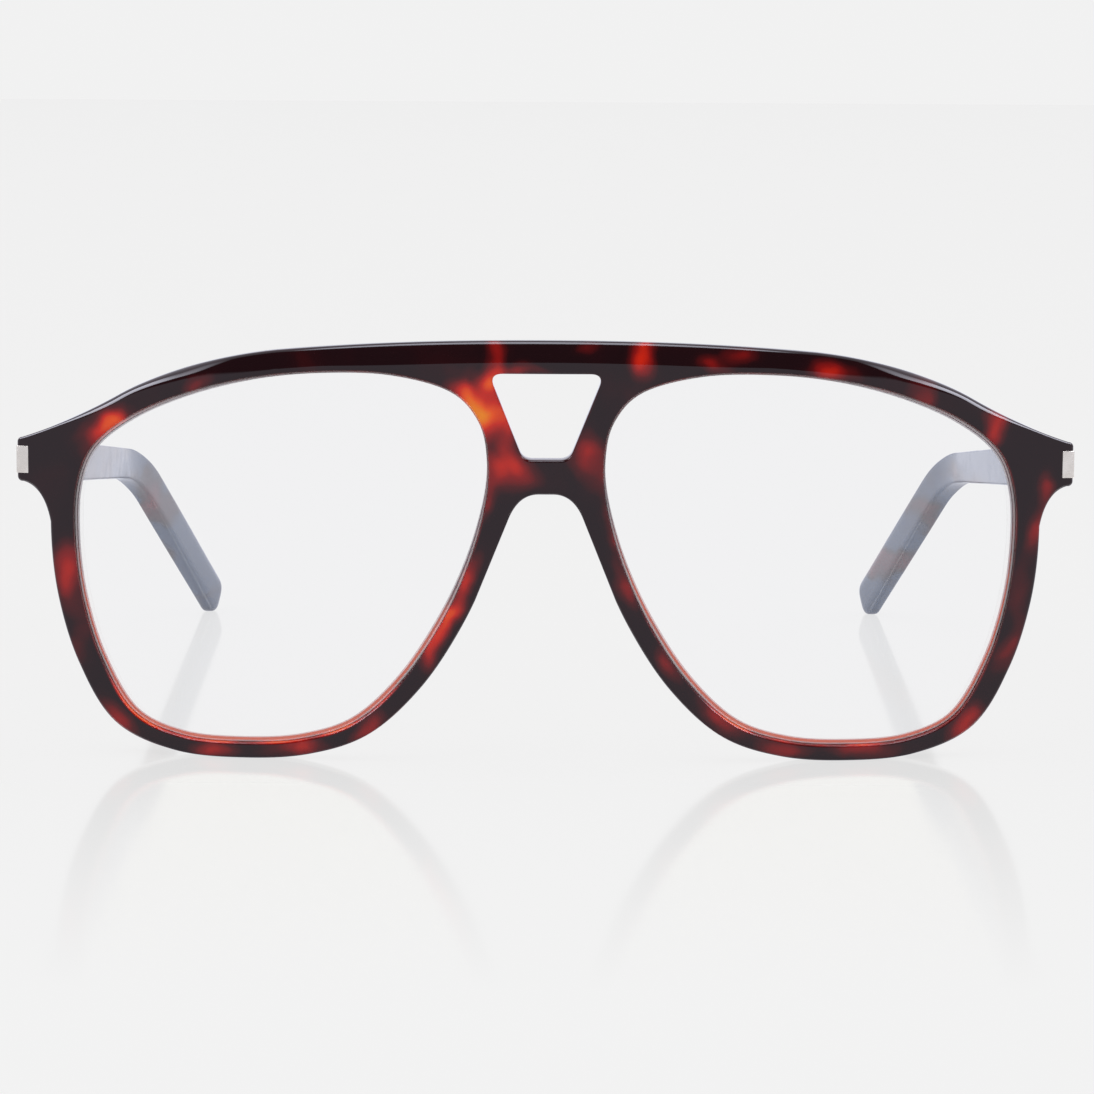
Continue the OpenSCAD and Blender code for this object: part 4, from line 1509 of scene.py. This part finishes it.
@dataclass
class Temple:
    """A bent temple with its hinge leaf's pocket, in millimetres and degrees."""

    face_y: float
    butt_y: float
    middle_z: float
    leaf_z: float
    outer_x: float = 73.7
    straight_l: float = 83.0
    drop: float = 6.4
    tip_drop: float = 37.5
    bend_r: float = 30.0
    front_h: float = 6.2
    bend_h: float = 4.9
    tip_h: float = 6.4
    front_t: float = 4.0
    tip_t: float = 2.6
    front_square: float = 9.0
    tip_square: float = 3.6
    butt_edge: float = 0.3
    tip_edge: float = 2.4
    turn_in: float = 2.0
    tip_in: float = 15.6
    turn_l: float = 13.0
    leaf_t: float = 0.9
    leaf_l: float = 9.0
    leaf_h: float = 3.76
    pocket_out: float = 3.0
    pocket_sink: float = 0.01
    pocket_over: float = 1.0
    pocket_fore: float = 0.48
    line_steps: int = 300
    rows: int = 220
    facets: int = 65
    sharp: float = 32.0

    @property
    def lengths(self) -> tuple[float, float]:
        """The length of the bend and of the end behind it, up to the middle of the tip's round."""
        a0, a1 = math.radians(self.drop), math.radians(self.tip_drop)
        z0 = self.middle_z - self.straight_l * math.sin(a0)
        z1 = z0 - self.bend_r * (math.cos(a0) - math.cos(a1))
        return self.bend_r * math.radians(self.tip_drop - self.drop), (z1 - self.tip_h / 2) / math.sin(a1)

    def side_point(self, s: float) -> Vector:
        """A point of the middle line, seen from the side.

        Args:
            s: Its distance along the line.

        Returns:
            Its Y and Z.
        """
        bend, _ = self.lengths
        a0, a1 = math.radians(self.drop), math.radians(self.tip_drop)
        run = min(s, self.straight_l)
        start = Vector((self.butt_y + run * math.cos(a0), self.middle_z - run * math.sin(a0)))
        if s <= self.straight_l:
            return start
        a = min(a1, a0 + (s - self.straight_l) / self.bend_r)
        turned = start + self.bend_r * Vector((math.sin(a) - math.sin(a0), math.cos(a) - math.cos(a0)))
        rest = max(0.0, s - self.straight_l - bend)
        return turned + rest * Vector((math.cos(a1), -math.sin(a1)))

    def line_x(self, y: float) -> float:
        """The middle line's X, seen from above.

        Args:
            y: The Y of a point on it.

        Returns:
            The point's X.
        """
        turn_y = self.butt_y + self.straight_l * math.cos(math.radians(self.drop)) - self.turn_l / 4
        u = y - turn_y
        turned = 0 if u < 0 else u * u / (2 * self.turn_l) if u < self.turn_l else u - self.turn_l / 2
        inwards, more = math.tan(math.radians(self.turn_in)), math.tan(math.radians(self.tip_in))
        return self.outer_x - self.front_t / 2 - (y - self.butt_y) * inwards - turned * (more - inwards)

    def middle_line(self, side: Side) -> tuple[Piece, float]:
        """Draws the middle line as a curve in the row frame.

        Args:
            side: The side that it is drawn for.

        Returns:
            The curve object and how much longer the line is than its side view.
        """
        bend, tip = self.lengths
        whole = self.straight_l + bend + tip + self.tip_h / 2 + 1
        drawn = [self.side_point(whole * k / self.line_steps) for k in range(self.line_steps + 1)]
        spots = [side.place(self.face_y, self.line_x(p.x), p.x, p.y) for p in drawn]
        curve = bpy.data.curves.new("temple_line", "CURVE")
        curve.dimensions = "3D"
        spline = curve.splines.new("POLY")
        spline.points.add(len(spots) - 1)
        for point, spot in zip(spline.points, spots):
            point.co = (*spot, 1)
        length = sum((b - a).length for a, b in zip(spots, spots[1:]))
        return linked("temple_line", curve), length / (whole * MM)

    def build(self, tree: TempleTree, side: Side, acetate: Material) -> None:
        """Makes one temple.

        Args:
            tree: The tree that grows it.
            side: The side that it stands on.
            acetate: Its material.
        """
        line, longer = self.middle_line(side)
        bend, tip = self.lengths
        pocket = Vector((self.leaf_t + self.pocket_out, self.leaf_l + self.pocket_over, self.leaf_h)) * MM
        pocket_x = self.outer_x - self.front_t + self.leaf_t / 2 - self.pocket_out / 2 + self.pocket_sink
        pocket_y = self.butt_y + self.leaf_l / 2 - self.pocket_fore
        place = side.place(self.face_y, pocket_x, pocket_y, self.leaf_z)
        sizes = {
            "Straight length": self.straight_l, "Line length": (self.straight_l + bend + tip) * longer,
            "Front height": self.front_h, "Bend height": self.bend_h, "Tip height": self.tip_h,
            "Front thickness": self.front_t, "Tip thickness": self.tip_t, "Butt edge": self.butt_edge,
            "Tip edge": self.tip_edge}
        piece = tree.grow(f"temple_{side.tag}_acetate", {
            **{key: value * MM for key, value in sizes.items()}, "Front squareness": self.front_square,
            "Tip squareness": self.tip_square, "Middle line": line, "Rows": self.rows, "Facets": self.facets,
            "Pocket size": pocket, "Pocket place": place}, acetate, self.sharp)
        bpy.data.objects.remove(line)
        settle(piece, f"temple_{side.tag}", "acetate", f"temple_{side.tag}")


class ScrewTree(TreeTool):
    """Grows a row of slotted screws."""

    FACETS = 40

    def __init__(self) -> None:
        """Builds the tree."""
        super().__init__("slotted screws")
        shank_r, length, head_r, foot_r, head_h, slot_w, slot_d = self.ask(
            "Float", "Shank radius", "Length", "Head radius", "Head foot radius", "Head height", "Slot width",
            "Slot depth")
        shank = self.put("GeometryNodeMeshCylinder", {
            "Vertices": self.FACETS, "Radius": shank_r, "Depth": length})
        head = self.put("GeometryNodeMeshCone", {
            "Vertices": self.FACETS, "Radius Top": head_r, "Radius Bottom": foot_r, "Depth": head_h})
        solid = self.put("GeometryNodeMeshBoolean", operation="UNION")
        for part, fall in ((shank, length * -0.5), (head, head_h * -1.0)):
            moved = self.put("GeometryNodeTransform", {"Geometry": part, "Translation": self.joined(z=fall)})
            self.feed(solid.inputs["Mesh 2"], moved)
        slot = self.put("GeometryNodeMeshCube", {"Size": self.joined(head_r * 3.0, slot_w, slot_d * 2.0)})
        cut = {"Mesh 1": solid, "Mesh 2": slot}
        self.end_row(self.put("GeometryNodeMeshBoolean", cut, operation="DIFFERENCE"))


class WasherTree(TreeTool):
    """Grows a stack of flat washers with eased edges round one axis."""

    def __init__(self) -> None:
        """Builds the tree."""
        super().__init__("washers")
        mean, wide, thick, edge = self.ask("Float", "Mean radius", "Wall", "Thickness", "Edge")
        circle = self.put("GeometryNodeCurvePrimitiveCircle", {"Resolution": 56, "Radius": mean})
        wall = self.put("GeometryNodeCurvePrimitiveQuadrilateral", {"Width": wide, "Height": thick})
        soft = self.put("GeometryNodeFilletCurve", {"Curve": wall, "Radius": edge}, mode="POLY")
        self.feed(soft.inputs["Count"], 3)
        self.end_row(self.put("GeometryNodeCurveToMesh", {"Curve": circle, "Profile Curve": soft}))


@dataclass
class Hinge:
    """A five-knuckle hinge with its screw, washers and leaf screws, in millimetres."""

    face_y: float
    end_y: float
    middle_z: float
    axis_x: float = 67.9
    knuckle_h: float = 1.0
    knuckle_r: float = 1.5
    washer_t: float = 0.2
    washer_inset: float = 0.1
    washer_edge: float = 0.04
    run_gap: float = 0.03
    screw_r: float = 0.68
    screw_end: float = 0.02
    screw_turn: float = 0.6
    head_r: float = 1.1
    head_h: float = 0.5
    slot_w: float = 0.3
    slot_d: float = 0.25
    leaf_x: float = 69.7
    leaf_drop: float = 0.25
    leaf_screw_r: float = 0.5
    leaf_screw_l: float = 2.6
    leaf_head_r: float = 0.8
    leaf_head_h: float = 0.35
    butt_gap: float = 0.1
    leaf_l: float = 9.0
    leaf_shares: tuple[float, float] = (0.42, 0.78)
    half_edge: float = 0.05

    @property
    def leaf_z(self) -> float:
        """The height of the temple leaf's middle."""
        return self.middle_z - self.leaf_drop

    @property
    def stack(self) -> float:
        """The height of the five knuckles with their gaps and washers."""
        return 5 * self.knuckle_h + 2 * (self.washer_t + 2 * self.run_gap) + 2 * 2 * self.run_gap

    def grow(self, tree: TreeTool, side: Side, node: str, body: str, finish: tuple[str, str, Material],
             sizes: dict[str, float], layout: tuple[int, Vector, Vector, Vector]) -> None:
        """Makes a row of small parts that stands for one node.

        Args:
            tree: The tree that grows them.
            side: The hinge's side.
            node: The node's name without its side.
            body: The body that they ride on.
            finish: The end of the piece's name, the record's material slot and the material.
            sizes: The tree's sizes, in millimetres.
            layout: The parts' count, first place, step and turn, in metres and radians.
        """
        word, slot, material = finish
        given = {key: value * MM for key, value in sizes.items()}
        given.update(zip(("Count", "First place", "Step", "Turn"), layout))
        piece = tree.grow(f"{node}_{side.tag}_{word}", given, material, METAL_SHARP)
        settle(piece, body, slot, f"{node}_{side.tag}")

    def build_screws(self, tree: ScrewTree, side: Side, steel: Material) -> None:
        """Makes the hinge screw and the two screws that hold the temple's leaf.

        Args:
            tree: The tree that grows them.
            side: The hinge's side.
            steel: Their material.
        """
        finish, still = ("steel", "hinge_steel", steel), Vector((0, 0, 0))
        screw = {"Shank radius": self.screw_r, "Length": self.stack - self.screw_end,
                 "Head radius": self.head_r, "Head foot radius": self.head_r,
                 "Head height": self.head_h - self.run_gap, "Slot width": self.slot_w, "Slot depth": self.slot_d}
        top = side.place(self.face_y, self.axis_x, self.end_y, self.middle_z + self.stack / 2)
        turn = Vector((0, 0, self.screw_turn * side.value))
        self.grow(tree, side, "hinge_screw", "front", finish, screw, (1, top, still, turn))
        first, last = (self.end_y + self.butt_gap + self.leaf_l * f for f in self.leaf_shares)
        small = {"Shank radius": self.leaf_screw_r, "Length": self.leaf_screw_l,
                 "Head radius": self.leaf_head_r, "Head foot radius": self.leaf_screw_r,
                 "Head height": self.leaf_head_h,
                 "Slot width": self.slot_w, "Slot depth": self.slot_d / 2}
        place = side.place(self.face_y, self.leaf_x, first, self.leaf_z)
        step, turn = Vector((0, (last - first) * MM, 0)), Vector((0, -side.value * math.pi / 2, 0))
        layout = (2, place, step, turn)
        self.grow(tree, side, "leaf_screws", f"temple_{side.tag}", finish, small, layout)

    def build_washers(self, tree: WasherTree, side: Side, nylon: Material) -> None:
        """Makes the two washers between the outer knuckles.

        Args:
            tree: The tree that grows them.
            side: The hinge's side.
            nylon: Their material.
        """
        inner, outer = self.screw_r + self.run_gap, self.knuckle_r - self.washer_inset
        low = self.middle_z - self.stack / 2 + self.knuckle_h + self.run_gap + self.washer_t / 2
        step = Vector((0, 0, (2 * self.middle_z - 2 * low) * MM))
        sizes = {"Mean radius": (inner + outer) / 2, "Wall": outer - inner, "Thickness": self.washer_t,
                 "Edge": self.washer_edge}
        layout = (2, side.place(self.face_y, self.axis_x, self.end_y, low), step, Vector((0, 0, 0)))
        self.grow(tree, side, "hinge_washers", "front", ("nylon", "washer_nylon", nylon), sizes, layout)

    def build_halves(self, nodes: dict[str, Piece], side: Side, steel: Material) -> None:
        """Makes the hinge's two halves from their solids, with broken edges.

        Args:
            nodes: The CAD nodes' objects.
            side: The hinge's side.
            steel: Their material.
        """
        for half, body in (("front_hinge", "front"), ("temple_hinge", f"temple_{side.tag}")):
            node = f"{half}_{side.tag}"
            settle(eased_copy(nodes[node], f"{node}_steel", steel, self.half_edge), body, "hinge_steel", node)


@dataclass(frozen=True)
class Camera:
    """The photograph's camera, in millimetres and degrees, for a square picture."""

    back: float = 608.66
    aside: float = -3.1
    height: float = 98.9
    pitch: float = 7.328
    yaw: float = -0.351
    roll: float = 0.33
    focal: float = 129.14
    sensor: float = 36.0

    def build(self) -> None:
        """Makes the camera and gives it to the scene."""
        data = bpy.data.cameras.new("photo_camera")
        data.lens, data.sensor_width, data.clip_start, data.clip_end = self.focal, self.sensor, 0.01, 20
        camera = linked("photo_camera", data)
        turn = Matrix.Rotation(math.radians(self.yaw), 4, "Z")
        for angle, axis in ((90 - self.pitch, "X"), (self.roll, "Z")):
            turn = turn @ Matrix.Rotation(math.radians(angle), 4, axis)
        camera.matrix_world = Matrix.Translation(Vector((self.aside, -self.back, self.height)) * MM) @ turn
        bpy.context.scene.camera = camera


@dataclass(frozen=True)
class Lamp:
    """A soft lamp that looks at the glasses, in metres and watts."""

    name: str
    place: tuple[float, float, float]
    power: float
    size: float

    def build(self) -> None:
        """Hangs the lamp, which the object doesn't mirror."""
        data = bpy.data.lights.new(self.name, "AREA")
        data.energy, data.size = self.power, self.size
        lamp = linked(self.name, data)
        lamp.location = self.place
        lamp.rotation_euler = (-Vector(self.place)).to_track_quat("-Z", "Y").to_euler()
        lamp.visible_glossy = False


@dataclass(frozen=True)
class Studio:
    """A pale floor, a pale surround and soft lamps.

    What the glasses mirror of the surround is dim high up in front, and has one bright panel overhead and one
    on either side. The fields that end in _up, _top, _front, _back and _side are spans of the ray's
    direction. On the floor, keep and far are spans of depth, in millimetres.
    """

    pale: float = 0.882
    fill: float = 0.72
    cool: Colour = (0.95, 0.965, 1.1)
    dim: float = 0.04
    dim_up: tuple[float, float] = (0.5, 0.68)
    dim_top: tuple[float, float] = (0.93, 0.98)
    dim_front: tuple[float, float] = (0.1, -0.1)
    panel: float = 8.0
    panel_up: tuple[float, float] = (0.95, 0.975)
    side_panel: float = 12.0
    side_side: tuple[float, float] = (0.42, 0.6)
    side_up: tuple[float, float] = (0.5, 0.6)
    side_front: tuple[float, float] = (-0.2, -0.1)
    side_back: tuple[float, float] = (0.3, 0.4)
    floor_size: float = 12.0
    floor_level: float = 0.845
    floor_white: float = 0.05
    floor_rough: tuple[float, float] = (0.07, 0.09)
    mirror: Colour = (0.172, 0.168, 0.148)
    keep: tuple[float, float] = (-205.0, -80.0)
    far: tuple[float, float] = (60.0, 200.0)
    far_more: float = 0.3
    lamps: tuple[Lamp, ...] = (
        Lamp("high_softbox", (-0.25, -0.2, 0.9), 1.6, 0.7), Lamp("side_softbox", (0.7, 0.1, 0.6), 0.8, 0.5))

    def seen(self, nodes: Nodes) -> Number:
        """1 for a ray from the camera, a reflection or glass, and 0 for light on the object."""
        clear = nodes.math("MAXIMUM", nodes.ray("Camera"), nodes.ray("Transmission"))
        return nodes.math("MAXIMUM", clear, nodes.ray("Glossy"))

    def reflected(self, nodes: Nodes) -> Number:
        """1 for a ray that the object mirrors, and 0 for one that only passes through a lens."""
        return nodes.ray("Glossy") * (1.0 - nodes.ray("Transmission"))

    def cast(self, nodes: Nodes) -> Socket:
        """The surround's colour: neutral to the camera, and slightly cool where the object mirrors it."""
        return nodes.blend(self.reflected(nodes), (1, 1, 1), self.cool)

    def build_world(self) -> None:
        """Makes the surround."""
        world = bpy.data.worlds.new("pale_surround")
        world.use_nodes = True
        world.node_tree.nodes.clear()
        nodes = Nodes(world.node_tree)
        x, y, z = nodes.parts(nodes.put("ShaderNodeTexCoord").outputs["Generated"])
        seen, reflected = self.seen(nodes), self.reflected(nodes)
        high = nodes.rise(z, self.dim_up) * nodes.fall(z, self.dim_top)
        shade = high * nodes.rise(y, self.dim_front) * reflected
        level = nodes.spread(shade, (0.0, 1.0), (1.0, self.dim), smooth=False)
        above = nodes.rise(z, self.panel_up) * self.panel
        beside = nodes.spread(nodes.math("ABSOLUTE", x), self.side_side, (0.0, self.side_panel))
        level_on = nodes.rise(y, self.side_front) * nodes.fall(y, self.side_back)
        beside = beside * nodes.rise(z, self.side_up) * level_on
        shown = (level + nodes.math("MAXIMUM", above, beside) * reflected) * self.pale
        strength = nodes.put("ShaderNodeMix", {0: seen, 2: self.fill, 3: shown})
        background = nodes.put("ShaderNodeBackground", {"Color": self.cast(nodes), "Strength": strength})
        nodes.put("ShaderNodeOutputWorld", {"Surface": background})
        bpy.context.scene.world = world

    def floor_shader(self, nodes: Nodes, place: Socket) -> Node:
        """The floor's shader, which keeps the glasses' shadow and a faint reflection of them.

        Args:
            nodes: The material's nodes.
            place: The floor's place, in millimetres.

        Returns:
            The shader.
        """
        depth = nodes.parts(place)[1]
        keep = nodes.spread(depth, self.keep, (0.0, 1.0), smooth=False)
        level = self.floor_level - keep * (self.mirror[0] * self.pale)
        level = level * (nodes.spread(depth, self.far, (0.0, self.far_more)) * self.reflected(nodes) + 1.0)
        glow = nodes.put("ShaderNodeEmission", {"Color": self.cast(nodes), "Strength": level})
        white = nodes.put("ShaderNodeBsdfDiffuse", {"Color": (self.floor_white,) * 3 + (1,)})
        rough = nodes.cloudy(place, 0.02, 2, self.floor_rough)
        shine = nodes.vector("SCALE", self.mirror, keep)
        mirror = nodes.put("ShaderNodeBsdfGlossy", {"Color": shine, "Roughness": rough})
        lit = nodes.put("ShaderNodeAddShader", {0: white, 1: mirror})
        shown = nodes.put("ShaderNodeAddShader", {0: glow, 1: lit})
        plain = nodes.put("ShaderNodeBsdfDiffuse", {"Color": (0.8, 0.8, 0.8, 1)})
        return nodes.put("ShaderNodeMixShader", {0: self.seen(nodes), 1: plain, 2: shown})

    def build_floor(self) -> None:
        """Makes the floor."""
        half = self.floor_size / 2
        mesh = bpy.data.meshes.new("pale_floor")
        corners = [(-half, -half, 0), (half, -half, 0), (half, half, 0), (-half, half, 0)]
        mesh.from_pydata(corners, [], [(0, 1, 2, 3)])
        mesh.materials.append(node_material("pale_floor", self.floor_shader))
        linked("pale_floor", mesh)

    def build(self) -> None:
        """Makes the whole studio."""
        self.build_world()
        self.build_floor()
        for lamp in self.lamps:
            lamp.build()
        bpy.context.scene.view_settings.view_transform = "Standard"


FRONT_FLECKS = tuple(Fleck(*sizes) for sizes in (
    (-60.9, 45.9, 3.2, 1.9, 55, 0.7), (-61.6, 45.4, 4.8, 3.2, 50, 0.46), (-47.6, 51.6, 2.6, 1.3, 20, 0.36),
    (-67.0, 25.2, 4.4, 2.6, 85, 0.52), (-64.9, 17.0, 6.5, 2.4, 75, 0.24), (-59.6, 5.0, 4.2, 2.2, -50, 0.52),
    (-46.5, 0.9, 3.2, 1.8, 0, 0.52), (-34.6, 1.7, 5.4, 1.8, 3, 0.5), (-24.5, 4.6, 3.4, 1.6, 40, 0.34),
    (-14.9, 16.2, 3.6, 1.5, 57, 0.6), (-12.6, 20.4, 4.4, 1.6, 59, 0.8), (-10.5, 26.0, 3.4, 1.4, 65, 0.7),
    (-9.0, 48.6, 3.6, 2.2, -50, 0.95), (-11.2, 51.0, 2.8, 1.6, -25, 0.6), (-9.2, 49.0, 6.4, 4.2, -45, 0.46),
    (-6.6, 48.4, 6.6, 1.1, -73, 0.5), (-7.7, 52.8, 2.6, 1.9, 60, 0.62), (-7.3, 57.0, 3.8, 1.7, 90, 0.5),
    (-3.2, 54.3, 4.4, 1.0, 0, 0.42), (-6.6, 41.4, 4.2, 3.4, 0, 0.5), (-3.4, 40.4, 3.4, 2.0, -10, 0.4),
    (-8.6, 36.0, 4.0, 1.6, 75, 0.4), (5.4, 43.6, 3.2, 2.2, 80, 0.56), (7.6, 40.6, 3.4, 2.6, 60, 0.42),
    (9.0, 33.0, 4.6, 1.6, -75, 0.42), (13.4, 57.4, 3.4, 1.9, 90, 0.6), (13.2, 55.0, 2.2, 1.7, 0, 0.4),
    (5.4, 57.8, 2.0, 1.2, 0, 0.28), (22.9, 54.8, 2.6, 1.6, -20, 0.42), (26.9, 56.7, 2.4, 1.4, 0, 0.42),
    (39.3, 54.2, 4.4, 2.0, -12, 0.5), (52.4, 51.5, 3.4, 2.0, 75, 0.36), (62.3, 46.3, 3.4, 1.9, 70, 0.64),
    (69.6, 37.3, 2.6, 1.8, 80, 0.46), (68.5, 32.6, 3.2, 1.9, 80, 0.48), (66.6, 24.0, 6.0, 2.2, 82, 0.26),
    (64.6, 14.9, 3.4, 1.9, 70, 0.4), (59.2, 4.9, 3.8, 2.0, 45, 0.56), (44.6, 1.9, 5.4, 1.7, 0, 0.5),
    (33.3, 2.0, 4.0, 1.8, -5, 0.52), (23.9, 6.1, 4.6, 1.8, -45, 0.52), (16.9, 13.8, 3.6, 1.6, -57, 0.4),
    (10.6, 25.0, 4.4, 1.5, -63, 0.34), (0.0, 36.8, 3.0, 1.0, 0, 0.3)))


def build_plaque(nodes: dict[str, Piece], side: Side, champagne: Material) -> None:
    """Makes a corner plaque with its studs from its solid, with its edges broken by PLAQUE_EDGE.

    Args:
        nodes: The CAD nodes' objects.
        side: The side that it sits on.
        champagne: Its material.
    """
    node = f"corner_plaque_{side.tag}"
    plaque = eased_copy(nodes[node], f"{node}_champagne", champagne, PLAQUE_EDGE)
    settle(plaque, "front", "plaque_metal", node)


def dress_core(core: Piece, wire: Material) -> None:
    """Gives a temple's core, whose solid is shown as it is, its material.

    Args:
        core: The core's object.
        wire: Its material.
    """
    core.data.materials.clear()
    core.data.materials.append(wire)
    LOG.info("%s: its solid, as drawn wire", core.name)


def main() -> None:
    """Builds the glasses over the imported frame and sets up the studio."""
    logging.basicConfig(level=logging.INFO, format="%(message)s")
    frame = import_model()
    nodes = frame["nodes"]
    face_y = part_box("front")[0].y

    acetate = TortoiseAcetate("tortoiseshell_acetate", FRONT_FLECKS).make()
    temple_acetate = TortoiseAcetate(
        "temple_acetate", ground=(0.035, 0.07, 0.14), mottle=0.34, wander=1.5, gloss=0.14, ior=1.7).make()
    lens = ClearPlastic("coated_lens", (0.999, 0.999, 1.0), (0.93, 0.95, 1.0), 0.0, 0.01, 1.67).make()
    # Lens edges: frosted white that also stands as a painted highlight, and a painted glow of the red acetate
    # wall, dark as painted shade at the brow
    frosted_edge_highlight = LensEdge("frosted_lens_edge", (1.0, 0.97, 1.0), (1.0, 0.93, 0.96)).make()
    lens_edge_wall_glow = LensEdge("warm_lens_edge", (0.2, 0.13, 0.14), (0.75, 0.16, 0.08)).make()
    pad_clear = ClearPlastic("clear_acetate", (0.95, 0.96, 0.97), (1.0, 1.0, 1.0), 0.02, 0.05, 1.47).make()
    champagne = BrushedMetal(
        "champagne_plating", (0.74, 0.69, 0.6), (0.82, 0.77, 0.68), 0.32, (1.5, 1.5, 14)).make()
    steel = BrushedMetal("nickel_silver", (0.56, 0.55, 0.53), (0.68, 0.66, 0.62), 0.3, (3, 3, 9)).make()
    wire = BrushedMetal("drawn_wire", (0.5, 0.47, 0.42), (0.6, 0.57, 0.52), 0.38, (9, 1, 9)).make()
    nylon = Nylon("washer_nylon").make()

    front = Front(face_y)
    front.build(acetate)
    temple_tree, screw_tree, washer_tree = TempleTree(), ScrewTree(), WasherTree()
    hinge = Hinge(face_y, front.end_y, front.end_z - front.fallen(front.end_y))
    butt_y = front.end_y + hinge.butt_gap
    temple = Temple(face_y, butt_y, front.end_z - front.fallen(butt_y), hinge.leaf_z)
    for side in Side:
        Lens(face_y).build(side, [lens, frosted_edge_highlight, lens_edge_wall_glow])
        NosePad(face_y).build(side, pad_clear)
        temple.build(temple_tree, side, temple_acetate)
        hinge.build_screws(screw_tree, side, steel)
        hinge.build_washers(washer_tree, side, nylon)
        hinge.build_halves(nodes, side, steel)
        build_plaque(nodes, side, champagne)
        dress_core(nodes[f"temple_core_{side.tag}"], wire)

    Studio().build()
    Camera().build()
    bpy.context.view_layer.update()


if __name__ == "__main__":
    main()
